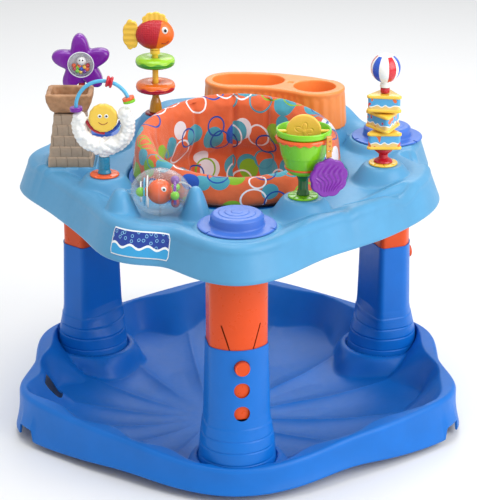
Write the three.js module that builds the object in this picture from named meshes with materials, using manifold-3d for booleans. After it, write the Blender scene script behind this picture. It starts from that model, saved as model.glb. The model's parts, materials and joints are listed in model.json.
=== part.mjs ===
// Activity jumper: a stationary baby activity centre with a rocking saucer base, three telescoping
// legs, a lobed toy tray and a seat that turns. Millimetres, +Z up, the front towards -Y.
// Angles are in degrees, counted from +X towards +Y, so the front is at 270.
import * as THREE from 'three';
import Module from 'manifold-3d';
import { mergeVertices } from 'three/addons/utils/BufferGeometryUtils.js';

const wasm = await Module();
wasm.setup();

// ---- driving dimensions ----

const gap = 0.3; // between pieces that touch
const outlineSteps = 40; // points round the saucer and the tray

const legCircle = 314; // centre of the base to a leg's axis
const legs = [
  { name: 'front', at: 270, twist: 10 },
  { name: 'right', at: 30, twist: -8 },
  { name: 'left', at: 150, twist: -10 },
];
const legHalfWidth = 50.7;
const legFace = 47; // axis to the curved outward face
const legBack = 30; // axis to the flat inward face
const legCurve = 60; // radius of the outward face
const legWall = 2.4;
const legFlare = 1.07; // how much wider the leg is above its foot than at its top
const footRadius = 65;
const outerLegTop = 258;
const innerLegBottom = 136;
const buttonHeights = [228, 188, 147]; // the latch holes: the spring button is in the first
const buttonRadius = 12.4;
const buttonReach = 6; // how far it stands out of the outer leg

const saucer = {
  radius: 372,
  lobes: [
    { at: 270, out: 24, spread: 18 },
    { at: 338, out: 34, spread: 13 },
    { at: 25, out: 27, spread: 15 },
    { at: 90, out: 42, spread: 19 },
    { at: 156, out: 27, spread: 15 },
    { at: 203, out: 34, spread: 13 },
  ],
};
const skirtBottom = 10;
const skirtDraft = 8;
const rimHeight = 78;
const rimWidth = 22;
const saucerFlat = 150; // radius of the flat that stands on the floor
const saucerWall = 4;
const collarTop = 50; // top of the raised ring around each leg's foot
const collarSeat = 45; // what the foot stands on

const stabilizers = [ // flip-down feet, and the notches in the skirt beside them
  { name: 'left', notch: 205, at: 212 },
  { name: 'right', notch: 337, at: 330 },
  { name: 'rear', notch: 96, at: 88 },
];
const footPinRadius = 3;
const footPinHeight = 27;
const footWidth = 20; // along the radius
const footInset = 33; // the skirt's edge to the middle of the foot
const footLength = 26; // pin to sole

const tray = {
  radius: 322,
  lobes: [
    { at: 270, out: 101, spread: 18 },
    { at: 0, out: 32, spread: 24 },
    { at: 33, out: 84, spread: 15 },
    { at: 58, out: 56, spread: 18 },
    { at: 108, out: 44, spread: 20 },
    { at: 148, out: 80, spread: 13 },
    { at: 169, out: 70, spread: 19 },
    { at: 240, out: 50, spread: 16 },
  ],
};
const trayBottom = 395;
const trayHeight = 455; // top of the rim at the front and the sides
const capPad = trayHeight + 1; // top of the pads that the leg caps stand on
const trayBackRise = 25; // how much higher the rim is behind the snack tray
const trayBowlDepth = 15;
const trayDraft = 16;
const trayWall = 4;
const trayCrest = 26; // width of the rounded rim

const seatShelf = 424; // the track that the seat ring turns on
const seatHole = 176;
const seatWell = 191;
const seatRingOuter = 189;
const seatRingInner = 160;

const toyHeight = 470; // top of the mounds that carry the toys
const toyBaseRadius = 25;
const toyBaseTop = toyHeight + gap + 3.7;
const cloudPlace = { x: -224, y: -103 };
const bucketPlace = { x: 108, y: -213 };
const spinnerPlace = { x: 251, y: -41 };
const fishPlace = { x: -149, y: 205 };
const fishHeight = 485;
const castlePlace = { x: -288, y: 5 };
const castleFloor = 458;
const rollerPlace = { x: -126, y: -220, z: 481 };
const rollerHalfLength = 47;
const rollerRadius = 38.5;
const rollerAxleRadius = 4;

const snackArc = { radius: 240, from: 54, to: 92 };
const snackTop = 545;
const snackHalfWidth = 46;
const snackFlare = 5; // how much wider it is at its foot

const colours = {
  saucerBlue: 0x3c73c8,
  trayBlue: 0x6fb1e2,
  capBlue: 0x4b73d7,
  orange: 0xeb5523,
  snackOrange: 0xf99a50,
  seatOrange: 0xe6623c,
  yellow: 0xf6c945,
  amber: 0xe0982c,
  red: 0xc81f34,
  lime: 0x86c832,
  green: 0x2f7d35,
  purple: 0x7a1ea0,
  teal: 0x3a93b4,
  sky: 0x6cb8dd,
  white: 0xf4f4f2,
  tan: 0xb7a58f,
  brown: 0xa87b55,
  clear: 0xdfe6ea,
};

// ---- small helpers ----

const rad = THREE.MathUtils.degToRad;
const { lerp, smoothstep } = THREE.MathUtils;

function polar(radius, degrees, z = 0) {
  return new THREE.Vector3(radius * Math.cos(rad(degrees)), radius * Math.sin(rad(degrees)), z);
}

function turnBetween(a, b) {
  const turn = Math.abs(a - b) % 360;
  return Math.min(turn, 360 - turn);
}

function bump(degrees, at, spread) {
  return Math.exp(-((turnBetween(degrees, at) / spread) ** 2));
}

// The radius of a lobed outline: a circle with soft lobes that run into each other.
function lobedRadius(outline, degrees) {
  const sharpness = 3;
  const total = outline.lobes.reduce(
    (sum, lobe) => sum + (lobe.out * bump(degrees, lobe.at, lobe.spread)) ** sharpness, 0);
  return outline.radius + total ** (1 / sharpness);
}

function signedVolume(geometry) {
  const position = geometry.attributes.position;
  const corner = (i) => new THREE.Vector3().fromBufferAttribute(position, geometry.index.getX(i));
  let volume = 0;
  for (let i = 0; i < geometry.index.count; i += 3) {
    volume += corner(i).dot(corner(i + 1).cross(corner(i + 2)));
  }
  return volume;
}

// Merges shared corners and turns the faces outwards, so that the shape is one closed solid.
function closed(geometry) {
  geometry.deleteAttribute('normal');
  geometry.deleteAttribute('uv');
  const merged = mergeVertices(geometry, 1e-4);
  const kept = [];
  for (let i = 0; i < merged.index.count; i += 3) {
    const [a, b, c] = [0, 1, 2].map((k) => merged.index.getX(i + k));
    if (a !== b && b !== c && c !== a) kept.push(a, b, c);
  }
  merged.setIndex(kept);
  if (signedVolume(merged) < 0) merged.setIndex(kept.reverse());
  return merged;
}

function toSolid(geometry) {
  const shape = closed(geometry);
  return new wasm.Manifold(new wasm.Mesh({
    numProp: 3,
    vertProperties: new Float32Array(shape.attributes.position.array),
    triVerts: new Uint32Array(shape.index.array),
  }));
}

function toGeometry(solid) {
  const mesh = solid.getMesh();
  const geometry = new THREE.BufferGeometry();
  geometry.setAttribute('position', new THREE.BufferAttribute(mesh.vertProperties, 3));
  geometry.setIndex(new THREE.BufferAttribute(mesh.triVerts, 1));
  return geometry;
}

function cut(geometry, ...tools) {
  return toGeometry(tools.reduce((solid, tool) => solid.subtract(toSolid(tool)), toSolid(geometry)));
}

function join(geometry, ...others) {
  return toGeometry(others.reduce((solid, other) => solid.add(toSolid(other)), toSolid(geometry)));
}

// A closed skin over rings of points, each ring with as many points as the next. Looped rings close
// on themselves like a tyre, and the others get a cap at each end.
function skin(rings, looped = false) {
  const count = rings[0].length;
  const points = rings.flat();
  const faces = [];
  const joins = looped ? rings.length : rings.length - 1;
  for (let ring = 0; ring < joins; ring++) {
    const here = ring * count;
    const next = ((ring + 1) % rings.length) * count;
    for (let i = 0; i < count; i++) {
      const j = (i + 1) % count;
      faces.push(here + i, here + j, next + j, here + i, next + j, next + i);
    }
  }
  if (!looped) {
    for (const end of [0, rings.length - 1]) {
      const ring = rings[end];
      const centre = ring.reduce((sum, p) => sum.add(p), new THREE.Vector3()).divideScalar(count);
      points.push(centre);
      for (let i = 0; i < count; i++) {
        const side = [end * count + i, end * count + ((i + 1) % count)];
        if (end === 0) side.reverse();
        faces.push(...side, points.length - 1);
      }
    }
  }
  const geometry = new THREE.BufferGeometry().setFromPoints(points);
  geometry.setIndex(faces);
  return geometry;
}

// Rings whose profile, a list of [radius, height], changes with the angle.
function profileRings(profileAt, steps) {
  const profiles = Array.from({ length: steps }, (_, i) => profileAt((360 * i) / steps));
  return profiles[0].map((_, k) =>
    profiles.map((profile, i) => polar(profile[k][0], (360 * i) / steps, profile[k][1])));
}

// A turned shape about the Z axis, from a profile of [radius, height].
function turned(profile, segments = 16) {
  const points = profile.map(([radius, height]) => new THREE.Vector2(radius, height));
  return new THREE.LatheGeometry(points, segments).rotateX(Math.PI / 2);
}

function rod(radius, from, to, segments = 12) {
  return turned([[0, from], [radius, from], [radius, to], [0, to]], segments);
}

function rodAlongX(radius, from, to, segments = 12) {
  return rod(radius, from, to, segments).rotateY(Math.PI / 2);
}

function ball(radius, across = 12, down = 8) {
  return new THREE.SphereGeometry(radius, across, down).rotateX(Math.PI / 2);
}

function box(width, depth, from, to) {
  return new THREE.BoxGeometry(width, depth, to - from).translate(0, 0, (from + to) / 2);
}

function squareRing(halfWidth, halfDepth, corner, z) {
  const ring = [];
  for (let i = 0; i < 4; i++) {
    const side = [[1, 1], [-1, 1], [-1, -1], [1, -1]][i];
    for (const turn of [10, 80]) {
      const round = polar(corner, i * 90 + turn);
      const x = side[0] * (halfWidth - corner) + round.x;
      ring.push(new THREE.Vector3(x, side[1] * (halfDepth - corner) + round.y, z));
    }
  }
  return ring;
}

// An outline that runs along an arc about the origin with round ends, like a bean.
function beanRing({ radius, from, to }, halfWidth, z) {
  const endSteps = 6;
  const sideSteps = 4;
  const ring = [];
  for (let i = 0; i <= sideSteps; i++) {
    ring.push(polar(radius + halfWidth, lerp(from, to, i / sideSteps), z));
  }
  for (let i = 1; i < endSteps; i++) {
    ring.push(polar(radius, to, z).add(polar(halfWidth, to + (180 * i) / endSteps)));
  }
  for (let i = 0; i <= sideSteps; i++) {
    ring.push(polar(radius - halfWidth, lerp(to, from, i / sideSteps), z));
  }
  for (let i = 1; i < endSteps; i++) {
    ring.push(polar(radius, from, z).add(polar(halfWidth, from + 180 + (180 * i) / endSteps)));
  }
  return ring;
}

// A slice of a flat outline with soft edges, standing in the XZ plane and centred on Y.
function standingSlice(outlineAt, steps, thickness, edge) {
  const ringAt = (inset, y) => Array.from({ length: steps }, (_, i) => {
    const degrees = (360 * i) / steps;
    const point = polar(outlineAt(degrees) - inset, degrees);
    return new THREE.Vector3(point.x, y, point.y);
  });
  const half = thickness / 2;
  return skin([ringAt(edge, -half), ringAt(0, edge - half), ringAt(0, half - edge), ringAt(edge, half)]);
}

const assembly = new THREE.Group();

function add(name, geometry, colour, { at = {}, finish = {} } = {}) {
  const look = { color: colour, roughness: 0.45, metalness: 0, ...finish };
  const mesh = new THREE.Mesh(closed(geometry), new THREE.MeshStandardMaterial(look));
  mesh.name = name;
  mesh.position.set(at.x ?? 0, at.y ?? 0, at.z ?? 0);
  (at.group ?? assembly).add(mesh);
}

// ---- saucer base ----

function rimTop(degrees) {
  const low = 20 * bump(degrees, 270, 28);
  const high = 8 * (bump(degrees, 203, 16) + bump(degrees, 338, 16) + bump(degrees, 90, 30));
  return rimHeight - low + high;
}

function saucerProfile(degrees) {
  const edge = lobedRadius(saucer, degrees);
  const top = rimTop(degrees);
  const shoulder = edge - skirtDraft;
  const wallFoot = shoulder - rimWidth - 36;
  const floorAt = (radius) => saucerWall + 22 * (Math.max(0, radius - saucerFlat) / 170) ** 1.5;
  const underAt = (radius) => floorAt(radius) - saucerWall;
  const floorRings = [24, saucerFlat, 240, wallFoot - 12];
  return [
    ...floorRings.map((radius) => [radius, floorAt(radius)]),
    [wallFoot, floorAt(wallFoot) + 5],
    [shoulder - rimWidth - 5, top - 10],
    [shoulder - rimWidth + 4, top - 1],
    [shoulder - 7, top],
    [shoulder, top - 9],
    [edge, skirtBottom],
    [edge - saucerWall, skirtBottom],
    [shoulder - saucerWall, top - 11],
    [shoulder - rimWidth + 1, top - 8],
    [wallFoot + 3, underAt(wallFoot) + 2],
    [wallFoot - 12, underAt(wallFoot - 12)],
    [240, underAt(240)],
    [saucerFlat, 0],
    [24, 0],
  ];
}

// A hollow mound: the first shape is what stands proud, the second what is taken out below it.
function withMound(solid, outside, inside) {
  return solid.add(toSolid(outside)).subtract(toSolid(inside));
}

function saucerShell() {
  let solid = toSolid(skin(profileRings(saucerProfile, outlineSteps)));
  for (const leg of legs) {
    const place = polar(legCircle, leg.at);
    const ceiling = collarSeat - saucerWall;
    const collar = turned([[0, 18], [92, 18], [74, collarTop], [0, collarTop]]);
    const hollow = turned([[0, -1], [70, -1], [60, ceiling], [0, ceiling]], 12);
    const pocket = rod(footRadius + 1, collarSeat, rimHeight + 20, 20);
    const [outside, inside, seat] = [collar, hollow, pocket].map((shape) => shape.translate(...place));
    solid = withMound(solid, outside, inside).subtract(toSolid(seat));
  }
  for (const foot of stabilizers) {
    const notch = box(60, 44, -1, 32).translate(lobedRadius(saucer, foot.notch), 0, 0);
    solid = solid.subtract(toSolid(notch.rotateZ(rad(foot.notch))));
  }
  const handhold = skin([squareRing(13, 30, 10, 0), squareRing(13, 30, 10, 120)]);
  solid = solid.subtract(toSolid(handhold.translate(-337, -30, 0)));
  return toGeometry(solid);
}

// Flip-down feet: each hangs on a pin that lies along the radius, inside the hollow rim.
function addStabilizers() {
  for (const foot of stabilizers) {
    const middle = lobedRadius(saucer, foot.at) - footInset;
    const group = new THREE.Group();
    group.position.copy(polar(middle, foot.at, footPinHeight));
    group.rotation.z = rad(foot.at);
    assembly.add(group);
    const knuckle = rodAlongX(6.5, -footWidth / 2, footWidth / 2);
    const side = foot.name === 'left' ? 1 : -1; // which way it lies when it is folded up
    const blade = new THREE.BoxGeometry(footWidth, footLength, 9).translate(0, (side * footLength) / 2, 0);
    const sole = new THREE.BoxGeometry(footWidth, 5, 15).translate(0, side * (footLength - 2.5), -2);
    const bore = rodAlongX(footPinRadius + gap, -footWidth, footWidth);
    const paddle = cut(join(knuckle, blade, sole), bore);
    add(`stabilizer_foot_${foot.name}`, paddle, colours.saucerBlue, { at: { group } });
    const pin = rodAlongX(footPinRadius, -footWidth / 2 - 3, footWidth / 2 + 3);
    add(`stabilizer_pin_${foot.name}`, pin, colours.saucerBlue, { at: { group } });
  }
}

// ---- telescoping legs ----

// The leg's D section: a round outward face, two flat sides and a flat back.
function legRadius(degrees, inset) {
  const c = Math.cos(rad(degrees));
  const s = Math.abs(Math.sin(rad(degrees)));
  const curve = legCurve - inset;
  const behind = legCurve - legFace; // from the leg's axis back to the curve's centre
  const round = -behind * c + Math.sqrt(curve ** 2 - (behind * s) ** 2);
  const side = (legHalfWidth - inset) / Math.max(s, 1e-6);
  const back = c < 0 ? (legBack - inset) / -c : Infinity;
  return Math.min(round, side, back);
}

function legRing(z, inset, roundness = 0, scale = 1) {
  const steps = 24;
  return Array.from({ length: steps }, (_, i) => {
    const degrees = (360 * i) / steps;
    return polar(lerp(legRadius(degrees, inset) * scale, footRadius - inset, roundness), degrees, z);
  });
}

function outerLegShell() {
  const levels = [
    [collarSeat + gap, 1, legFlare],
    [84, 0.74, legFlare],
    [130, 0, legFlare],
    [outerLegTop, 0, 1],
  ];
  const outside = levels.map(([z, roundness, scale]) => legRing(z, 0, roundness, scale));
  const inside = levels.map(([z, roundness, scale]) => legRing(z, legWall, roundness, scale));
  const shell = skin([...outside, ...inside.reverse()], true);
  const holes = buttonHeights.map((z) => rodAlongX(buttonRadius + 0.8, 20, 80, 16).translate(0, 0, z));
  return cut(shell, ...holes);
}

function innerLegShell() {
  const top = capPad - trayWall - gap;
  const inset = legWall + gap;
  const wall = 2.5;
  const shell = skin([
    legRing(innerLegBottom, inset), legRing(top, inset), legRing(top, inset + wall),
    legRing(innerLegBottom, inset + wall),
  ], true);
  const tools = [rodAlongX(buttonRadius + 0.4, 20, 80, 16).translate(0, 0, buttonHeights[0])];
  for (const side of [-1, 1]) {
    const [hinge, knee] = [{ y: 32, z: 300 }, { y: 17, z: 250 }];
    const length = Math.hypot(hinge.y - knee.y, hinge.z - knee.z);
    const lean = Math.atan2(knee.y - hinge.y, hinge.z - knee.z);
    const slit = new THREE.BoxGeometry(60, 2, length + 2).rotateX(lean)
      .translate(50, (hinge.y + knee.y) / 2, (hinge.z + knee.z) / 2);
    const straight = box(60, 2, innerLegBottom - 1, knee.z).translate(50, knee.y, 0);
    tools.push(...[slit, straight].map((tool) => (side < 0 ? tool.scale(1, -1, 1) : tool)));
  }
  return cut(shell, ...tools);
}

function legCap() {
  const seat = capPad + gap;
  return turned([
    [0, seat - 16], [21, seat - 16], [21, seat], [64, seat], [63, seat + 3], [43, seat + 5], [42, seat + 18],
    [38, seat + 22], [0, seat + 25],
  ], 20);
}

function addLegs() {
  for (const leg of legs) {
    const group = new THREE.Group();
    group.position.copy(polar(legCircle, leg.at));
    group.rotation.z = rad(leg.at + leg.twist);
    assembly.add(group);
    add(`outer_leg_${leg.name}`, outerLegShell(), colours.saucerBlue, { at: { group } });
    add(`inner_leg_${leg.name}`, innerLegShell(), colours.orange, { at: { group } });
    add(`leg_cap_${leg.name}`, legCap(), colours.capBlue, { at: { group } });
    const face = legFace + buttonReach;
    const button = turned([[0, legFace - 12], [buttonRadius, legFace - 12], [buttonRadius, face - 1.5],
      [buttonRadius - 1.5, face], [0, face]]).rotateY(Math.PI / 2);
    add(`spring_button_${leg.name}`, button, colours.orange, { at: { group, z: buttonHeights[0] } });
  }
}

// ---- tray ----

function backRise(degrees) {
  return smoothstep(degrees, 45, 57) * (1 - smoothstep(degrees, 112, 132));
}

// Shallow dents that are pressed into the tray's top.
const trayDents = [
  { x: 236, y: -150, length: 62, width: 15, turn: 35, depth: 7 },
  { x: 309, y: 42, length: 26, width: 8, turn: 115, depth: 8 },
];

function dentDepth(x, y) {
  return trayDents.reduce((total, dent) => {
    const c = Math.cos(rad(dent.turn));
    const s = Math.sin(rad(dent.turn));
    const along = ((x - dent.x) * c + (y - dent.y) * s) / dent.length;
    const across = ((y - dent.y) * c - (x - dent.x) * s) / dent.width;
    return total + dent.depth * Math.exp(-(along ** 4 + across ** 2));
  }, 0);
}

function trayProfile(degrees) {
  const edge = lobedRadius(tray, degrees);
  const shoulder = edge - trayDraft;
  const rise = backRise(degrees);
  const top = trayHeight + trayBackRise * rise;
  const depth = trayBowlDepth - 5 * rise;
  const crest = shoulder - trayCrest;
  const surface = (share) => {
    const radius = lerp(seatWell + 6, crest, share);
    const point = polar(radius, degrees);
    const height = top - depth * (1 - smoothstep(share, 0.62, 1)) - dentDepth(point.x, point.y);
    return [radius, height];
  };
  const bowl = [0, 0.4, 0.7, 1].map(surface);
  const under = [1, 0.6, 0.1].map(surface).map(([radius, height]) => [radius, height - trayWall]);
  return [
    [seatHole, seatShelf - trayWall],
    [seatHole, seatShelf],
    [seatWell, seatShelf],
    [seatWell, bowl[0][1] - 4],
    ...bowl,
    [shoulder - 12, top],
    [shoulder - 3, top - 3],
    [shoulder, top - 10],
    [edge, trayBottom],
    [edge - trayWall, trayBottom],
    [shoulder - trayWall, top - 13],
    [shoulder - 13, top - trayWall],
    ...under,
    [seatWell + trayWall, seatShelf - trayWall],
  ];
}

// The outside and the hollow inside of a round mound on the tray.
function mound(place, top, topRadius, spread, foot) {
  const outside = turned([
    [0, foot], [spread, foot], [(spread + topRadius) / 2 - 1, (foot + top) / 2], [topRadius, top], [0, top],
  ], 12);
  const inside = turned([
    [0, foot - 30], [spread - trayWall, foot - 30], [spread - trayWall, foot],
    [topRadius - 3, top - trayWall], [0, top - trayWall],
  ], 8);
  return [outside, inside].map((shape) => shape.translate(place.x, place.y, 0));
}

function trayShell() {
  const bowlFloor = trayHeight - trayBowlDepth - 2;
  let solid = toSolid(skin(profileRings(trayProfile, outlineSteps), true));
  const beanOutside = skin([beanRing(snackArc, 58, bowlFloor), beanRing(snackArc, 53, toyHeight)]);
  const beanInside = skin([
    beanRing(snackArc, 49, bowlFloor - 40), beanRing(snackArc, 49, toyHeight - trayWall),
  ]);
  solid = withMound(solid, beanOutside, beanInside);
  const snackBed = skin([beanRing(snackArc, 52.5, toyHeight), beanRing(snackArc, 52.5, toyHeight + 40)]);
  solid = solid.subtract(toSolid(snackBed));
  for (const leg of legs) {
    solid = withMound(solid, ...mound(polar(legCircle, leg.at), capPad, 66, 78, bowlFloor));
    const plugHole = rod(22.5, trayHeight - 30, trayHeight + 10, 10).translate(...polar(legCircle, leg.at));
    solid = solid.subtract(toSolid(plugHole));
  }
  for (const place of [cloudPlace, bucketPlace, spinnerPlace]) {
    solid = withMound(solid, ...mound(place, toyHeight, 34, 58, bowlFloor));
  }
  solid = withMound(solid, ...mound(fishPlace, fishHeight, 25, 50, bowlFloor));
  const finReach = rollerHalfLength + 15;
  for (const side of [-1, 1]) {
    const place = { x: rollerPlace.x + side * finReach, y: rollerPlace.y };
    solid = solid.add(toSolid(mound(place, rollerPlace.z + 12, 8, 22, bowlFloor)[0]));
  }
  const pivot = rodAlongX(rollerAxleRadius + gap, -finReach, finReach);
  solid = solid.subtract(toSolid(pivot.translate(rollerPlace.x, rollerPlace.y, rollerPlace.z)));
  const plinth = box(94, 82, castleFloor - 23, castleFloor + 3).translate(castlePlace.x, castlePlace.y, 0);
  const recess = box(84, 72, castleFloor, trayHeight + 30).translate(castlePlace.x, castlePlace.y, 0);
  const well = rod(seatWell - 0.4, seatShelf + 0.5, toyHeight + 10, outlineSteps);
  return toGeometry(solid.add(toSolid(plinth)).subtract(toSolid(recess)).subtract(toSolid(well)));
}

// ---- snack tray ----

function snackTray() {
  const foot = toyHeight + gap;
  const wall = 3;
  const well = { radius: snackArc.radius, from: 78, to: snackArc.to };
  const cupAt = polar(snackArc.radius, snackArc.from);
  const cup = (radius, floor) => turned([[0, floor], [radius - 4, floor], [radius, snackTop + 1],
    [0, snackTop + 1]], 18).translate(cupAt.x, cupAt.y, 0);
  const bean = (arc, bottomHalf, topHalf, bottom, top) =>
    skin([beanRing(arc, bottomHalf, bottom), beanRing(arc, topHalf, top)]);
  const body = skin([
    beanRing(snackArc, snackHalfWidth + snackFlare, foot), beanRing(snackArc, snackHalfWidth, snackTop - 4),
    beanRing(snackArc, snackHalfWidth - 3, snackTop),
  ]);
  const wellFloor = snackTop - 34;
  const cupFloor = snackTop - 66;
  const hollow = toSolid(bean(snackArc, snackHalfWidth + snackFlare - wall, snackHalfWidth - wall, foot - 1,
    snackTop - wall)).subtract(toSolid(cup(41.5 + wall, cupFloor - wall)))
    .subtract(toSolid(bean(well, 36 + wall, 38 + wall, wellFloor - wall, snackTop)));
  return toGeometry(toSolid(body).subtract(hollow).subtract(toSolid(cup(41.5, cupFloor)))
    .subtract(toSolid(bean(well, 36, 38, wellFloor, snackTop + 1))));
}

// ---- seat ----

function seatRing() {
  return turned([
    [seatRingInner, seatShelf + 8], [seatRingInner, seatShelf + 12], [seatRingOuter, seatShelf + 12],
    [seatRingOuter, seatShelf + gap], [seatHole - 1, seatShelf + gap], [seatHole - 1, seatShelf - 14],
    [seatHole - 5, seatShelf - 14], [seatHole - 5, seatShelf + 8], [seatRingInner, seatShelf + 8],
  ], 32);
}

function seatProfile(degrees) {
  const back = Math.sin(rad(degrees)); // 1 at the back, -1 at the front
  const top = 523 + 30 * back;
  const topRadius = 166 - 32 * Math.max(0, back) ** 1.5;
  const inner = 134 - 14 * Math.max(0, back);
  return [
    [26, 300], [88, 308], [138, 345], [153, 436.5], [181, 437], [186, 448], [183, 472],
    [topRadius + 12, top - 9], [topRadius, top], [topRadius - 12, top - 6],
    [inner, 462], [146, 430], [131, 350], [84, 316], [26, 308],
  ];
}

function seatFabric() {
  const pouch = skin(profileRings(seatProfile, 28));
  const legHoles = [-1, 1].map((side) => rod(42, 250, 372).translate(side * 68, -22, 0));
  return cut(pouch, ...legHoles);
}

// ---- toys ----

function addToyBase(name, place, colour) {
  const foot = toyHeight + gap;
  const disc = turned([[0, foot], [toyBaseRadius, foot], [toyBaseRadius - 1, toyBaseTop], [0, toyBaseTop]]);
  add(name, disc, colour, { at: place });
}

function addFishToy() {
  const base = fishHeight + gap;
  const bore = 6.5;
  const plate = turned([[0, base], [20, base], [19, base + 4], [0, base + 4]]);
  add('fish_base', plate, colours.red, { at: fishPlace });
  const pole = turned([
    [0, base + 4.3], [12.5, base + 4.3], [11, 502], [6, 516], [6, 523], [9, 524], [9, 526.7],
    [6, 526.7], [6, 570], [9, 571], [9, 573.7], [6, 573.7], [6, 597], [9.5, 598], [9.5, 606],
    [6, 606], [6, 626], [0, 626],
  ], 12);
  add('fish_pole', pole, colours.yellow, { at: fishPlace });
  const disc = (low) => turned([[bore, low], [27, low], [34, low + 5], [35.5, low + 10], [34, low + 15],
    [27, low + 20], [bore, low + 20], [bore, low]]);
  add('fish_disc_lower', disc(527), colours.orange, { at: fishPlace });
  add('fish_disc_upper', disc(574), colours.lime, { at: fishPlace });
  const body = ball(1).scale(35, 16, 26).translate(0, 0, 634);
  const tail = standingSlice((degrees) => 19 + 2 * Math.cos(rad(5 * degrees)), 15, 7, 1.5)
    .scale(0.75, 1, 1.2).translate(-44, 0, 634);
  const fin = standingSlice((degrees) => 18 + 1.5 * Math.cos(rad(7 * degrees)), 14, 7, 1.5)
    .scale(1.1, 1, 0.9).translate(2, 0, 660);
  const neck = rod(8, 606.5, 616);
  const figure = cut(join(body, tail, fin, neck), rod(bore, 600, 627));
  add('fish_figure', figure, colours.red, { at: fishPlace });
}

function addStarToy() {
  const place = polar(legCircle + 9, 150); // a little outside the middle of the left leg's cap
  const foot = capPad + 26;
  const heart = 596;
  const stand = turned([
    [0, foot], [20, foot], [19, foot + 5], [8, foot + 9], [6, foot + 14], [6, 566], [0, 566],
  ]);
  add('star_stand', stand, colours.red, { at: place });
  const arm = (degrees) => 30 + 22 * ((1 + Math.cos(rad(5 * (degrees - 90)))) / 2) ** 0.9;
  const star = standingSlice(arm, 20, 26, 7).translate(0, 0, heart);
  const foreAft = (geometry) => geometry.rotateX(Math.PI / 2);
  const window = foreAft(rod(23.5, -3, 20, 16)).translate(0, 0, heart);
  const collar = rod(9, 558, 572);
  const body = cut(join(star, collar), window, rod(6.4, 550, 566.4));
  add('star_body', body, colours.purple, { at: place });
  const dome = foreAft(turned([[23.2, -2], [23.2, 12], [17, 20], [0, 24], [0, 22],
    [15.8, 18.4], [21.2, 11.5], [21.2, -2], [23.2, -2]])).translate(0, 0, heart);
  add('star_window', dome, colours.clear, { at: place, finish: { transparent: true, opacity: 0.35 } });
  const beads = [[-8, -10], [0, -13], [8, -10], [3, -4]].map(([x, z]) =>
    ball(6, 6, 4).translate(x, -5.5, heart + z));
  add('star_beads', join(...beads), colours.lime, { at: place });
}

function addCastle() {
  const foot = castleFloor + gap;
  const neck = 551;
  const courses = 5;
  const rings = [];
  for (let i = 0; i <= courses; i++) {
    const share = i / courses;
    const size = [lerp(39, 26, share), lerp(33, 23, share)];
    const z = lerp(foot, neck, share);
    rings.push(squareRing(size[0], size[1], 5, z));
    if (i < courses) rings.push(squareRing(size[0] - 1, size[1] - 1, 5, z + (neck - foot) / courses - 2));
  }
  const hollow = skin([squareRing(35, 29, 4, foot - 1), squareRing(22, 19, 4, neck - 4)]);
  add('castle_tower', cut(skin(rings), hollow), colours.tan, { at: castlePlace });
  const lip = 588;
  const hopper = skin([
    squareRing(27, 24, 5, neck + gap), squareRing(33, 29, 6, 560), squareRing(40, 34, 7, 574),
    squareRing(40, 34, 7, lip), squareRing(31, 25, 6, lip), squareRing(29, 23, 6, 572),
    squareRing(22, 19, 5, 556),
  ]);
  const gates = [0, 90].map((turn) => box(120, 20, lip - 5, lip + 5).rotateZ(rad(turn)));
  add('castle_hopper', cut(hopper, ...gates), colours.brown, { at: castlePlace });
}

function ringAround(path, section, from, to, steps) {
  return Array.from({ length: steps + 1 }, (_, i) => {
    const along = lerp(from, to, i / steps);
    const thick = typeof section === 'function' ? section(along) : section;
    return Array.from({ length: 8 }, (__, k) => {
      const point = polar(path + thick * Math.cos(rad(45 * k)), along);
      return new THREE.Vector3(point.x, thick * Math.sin(rad(45 * k)), point.y);
    });
  });
}

const hoop = { height: 590, radius: 45, wire: 3.2, from: 12, to: 188 };

function addCloudToy() {
  addToyBase('cloud_base', cloudPlace, colours.orange);
  const heart = 558;
  const foot = 503;
  const post = turned([
    [0, toyBaseTop + gap], [12, toyBaseTop + gap], [9.5, toyBaseTop + 8], [9.5, foot], [0, foot],
  ]);
  add('cloud_post', post, colours.teal, { at: cloudPlace });
  const puffs = (along) => 11 + 1.4 * Math.cos(rad(along * 14));
  const crescent = skin(ringAround(42, puffs, 162, 380, 18)).translate(0, 0, heart);
  const sunHeight = 571;
  const axle = rodAlongX(2.2, -38, 38, 12).translate(0, 0, sunHeight);
  add('cloud_body', join(crescent, rod(9, foot + gap, 514), axle), colours.white, { at: cloudPlace });
  const wire = skin(ringAround(hoop.radius, hoop.wire, hoop.from + 3, hoop.to - 3, 16));
  add('cloud_hoop', wire.translate(0, 0, hoop.height), colours.sky, { at: cloudPlace });
  const bead = (length, radius) => rodAlongX(radius, -length / 2, length / 2, 16);
  const onHoop = (geometry, degrees) => cut(geometry, rodAlongX(hoop.wire + 1.1, -20, 20, 12))
    .rotateY(-rad(degrees + 90)).translate(...hoopPoint(degrees));
  add('hoop_bead_red', onHoop(bead(9, 8), 75), colours.red, { at: cloudPlace });
  add('hoop_ring_orange', onHoop(bead(4, 9), 21), colours.orange, { at: cloudPlace });
  add('hoop_ring_purple', onHoop(bead(6, 9), 181), colours.purple, { at: cloudPlace });
  const sun = cut(standingSlice(() => 24, 20, 12, 3), rodAlongX(2.7, -30, 30, 12));
  add('cloud_sun', sun.translate(0, 0, sunHeight), colours.yellow, { at: cloudPlace });
}

function hoopPoint(degrees) {
  const point = polar(hoop.radius, degrees);
  return [point.x, 0, point.y + hoop.height];
}

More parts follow.
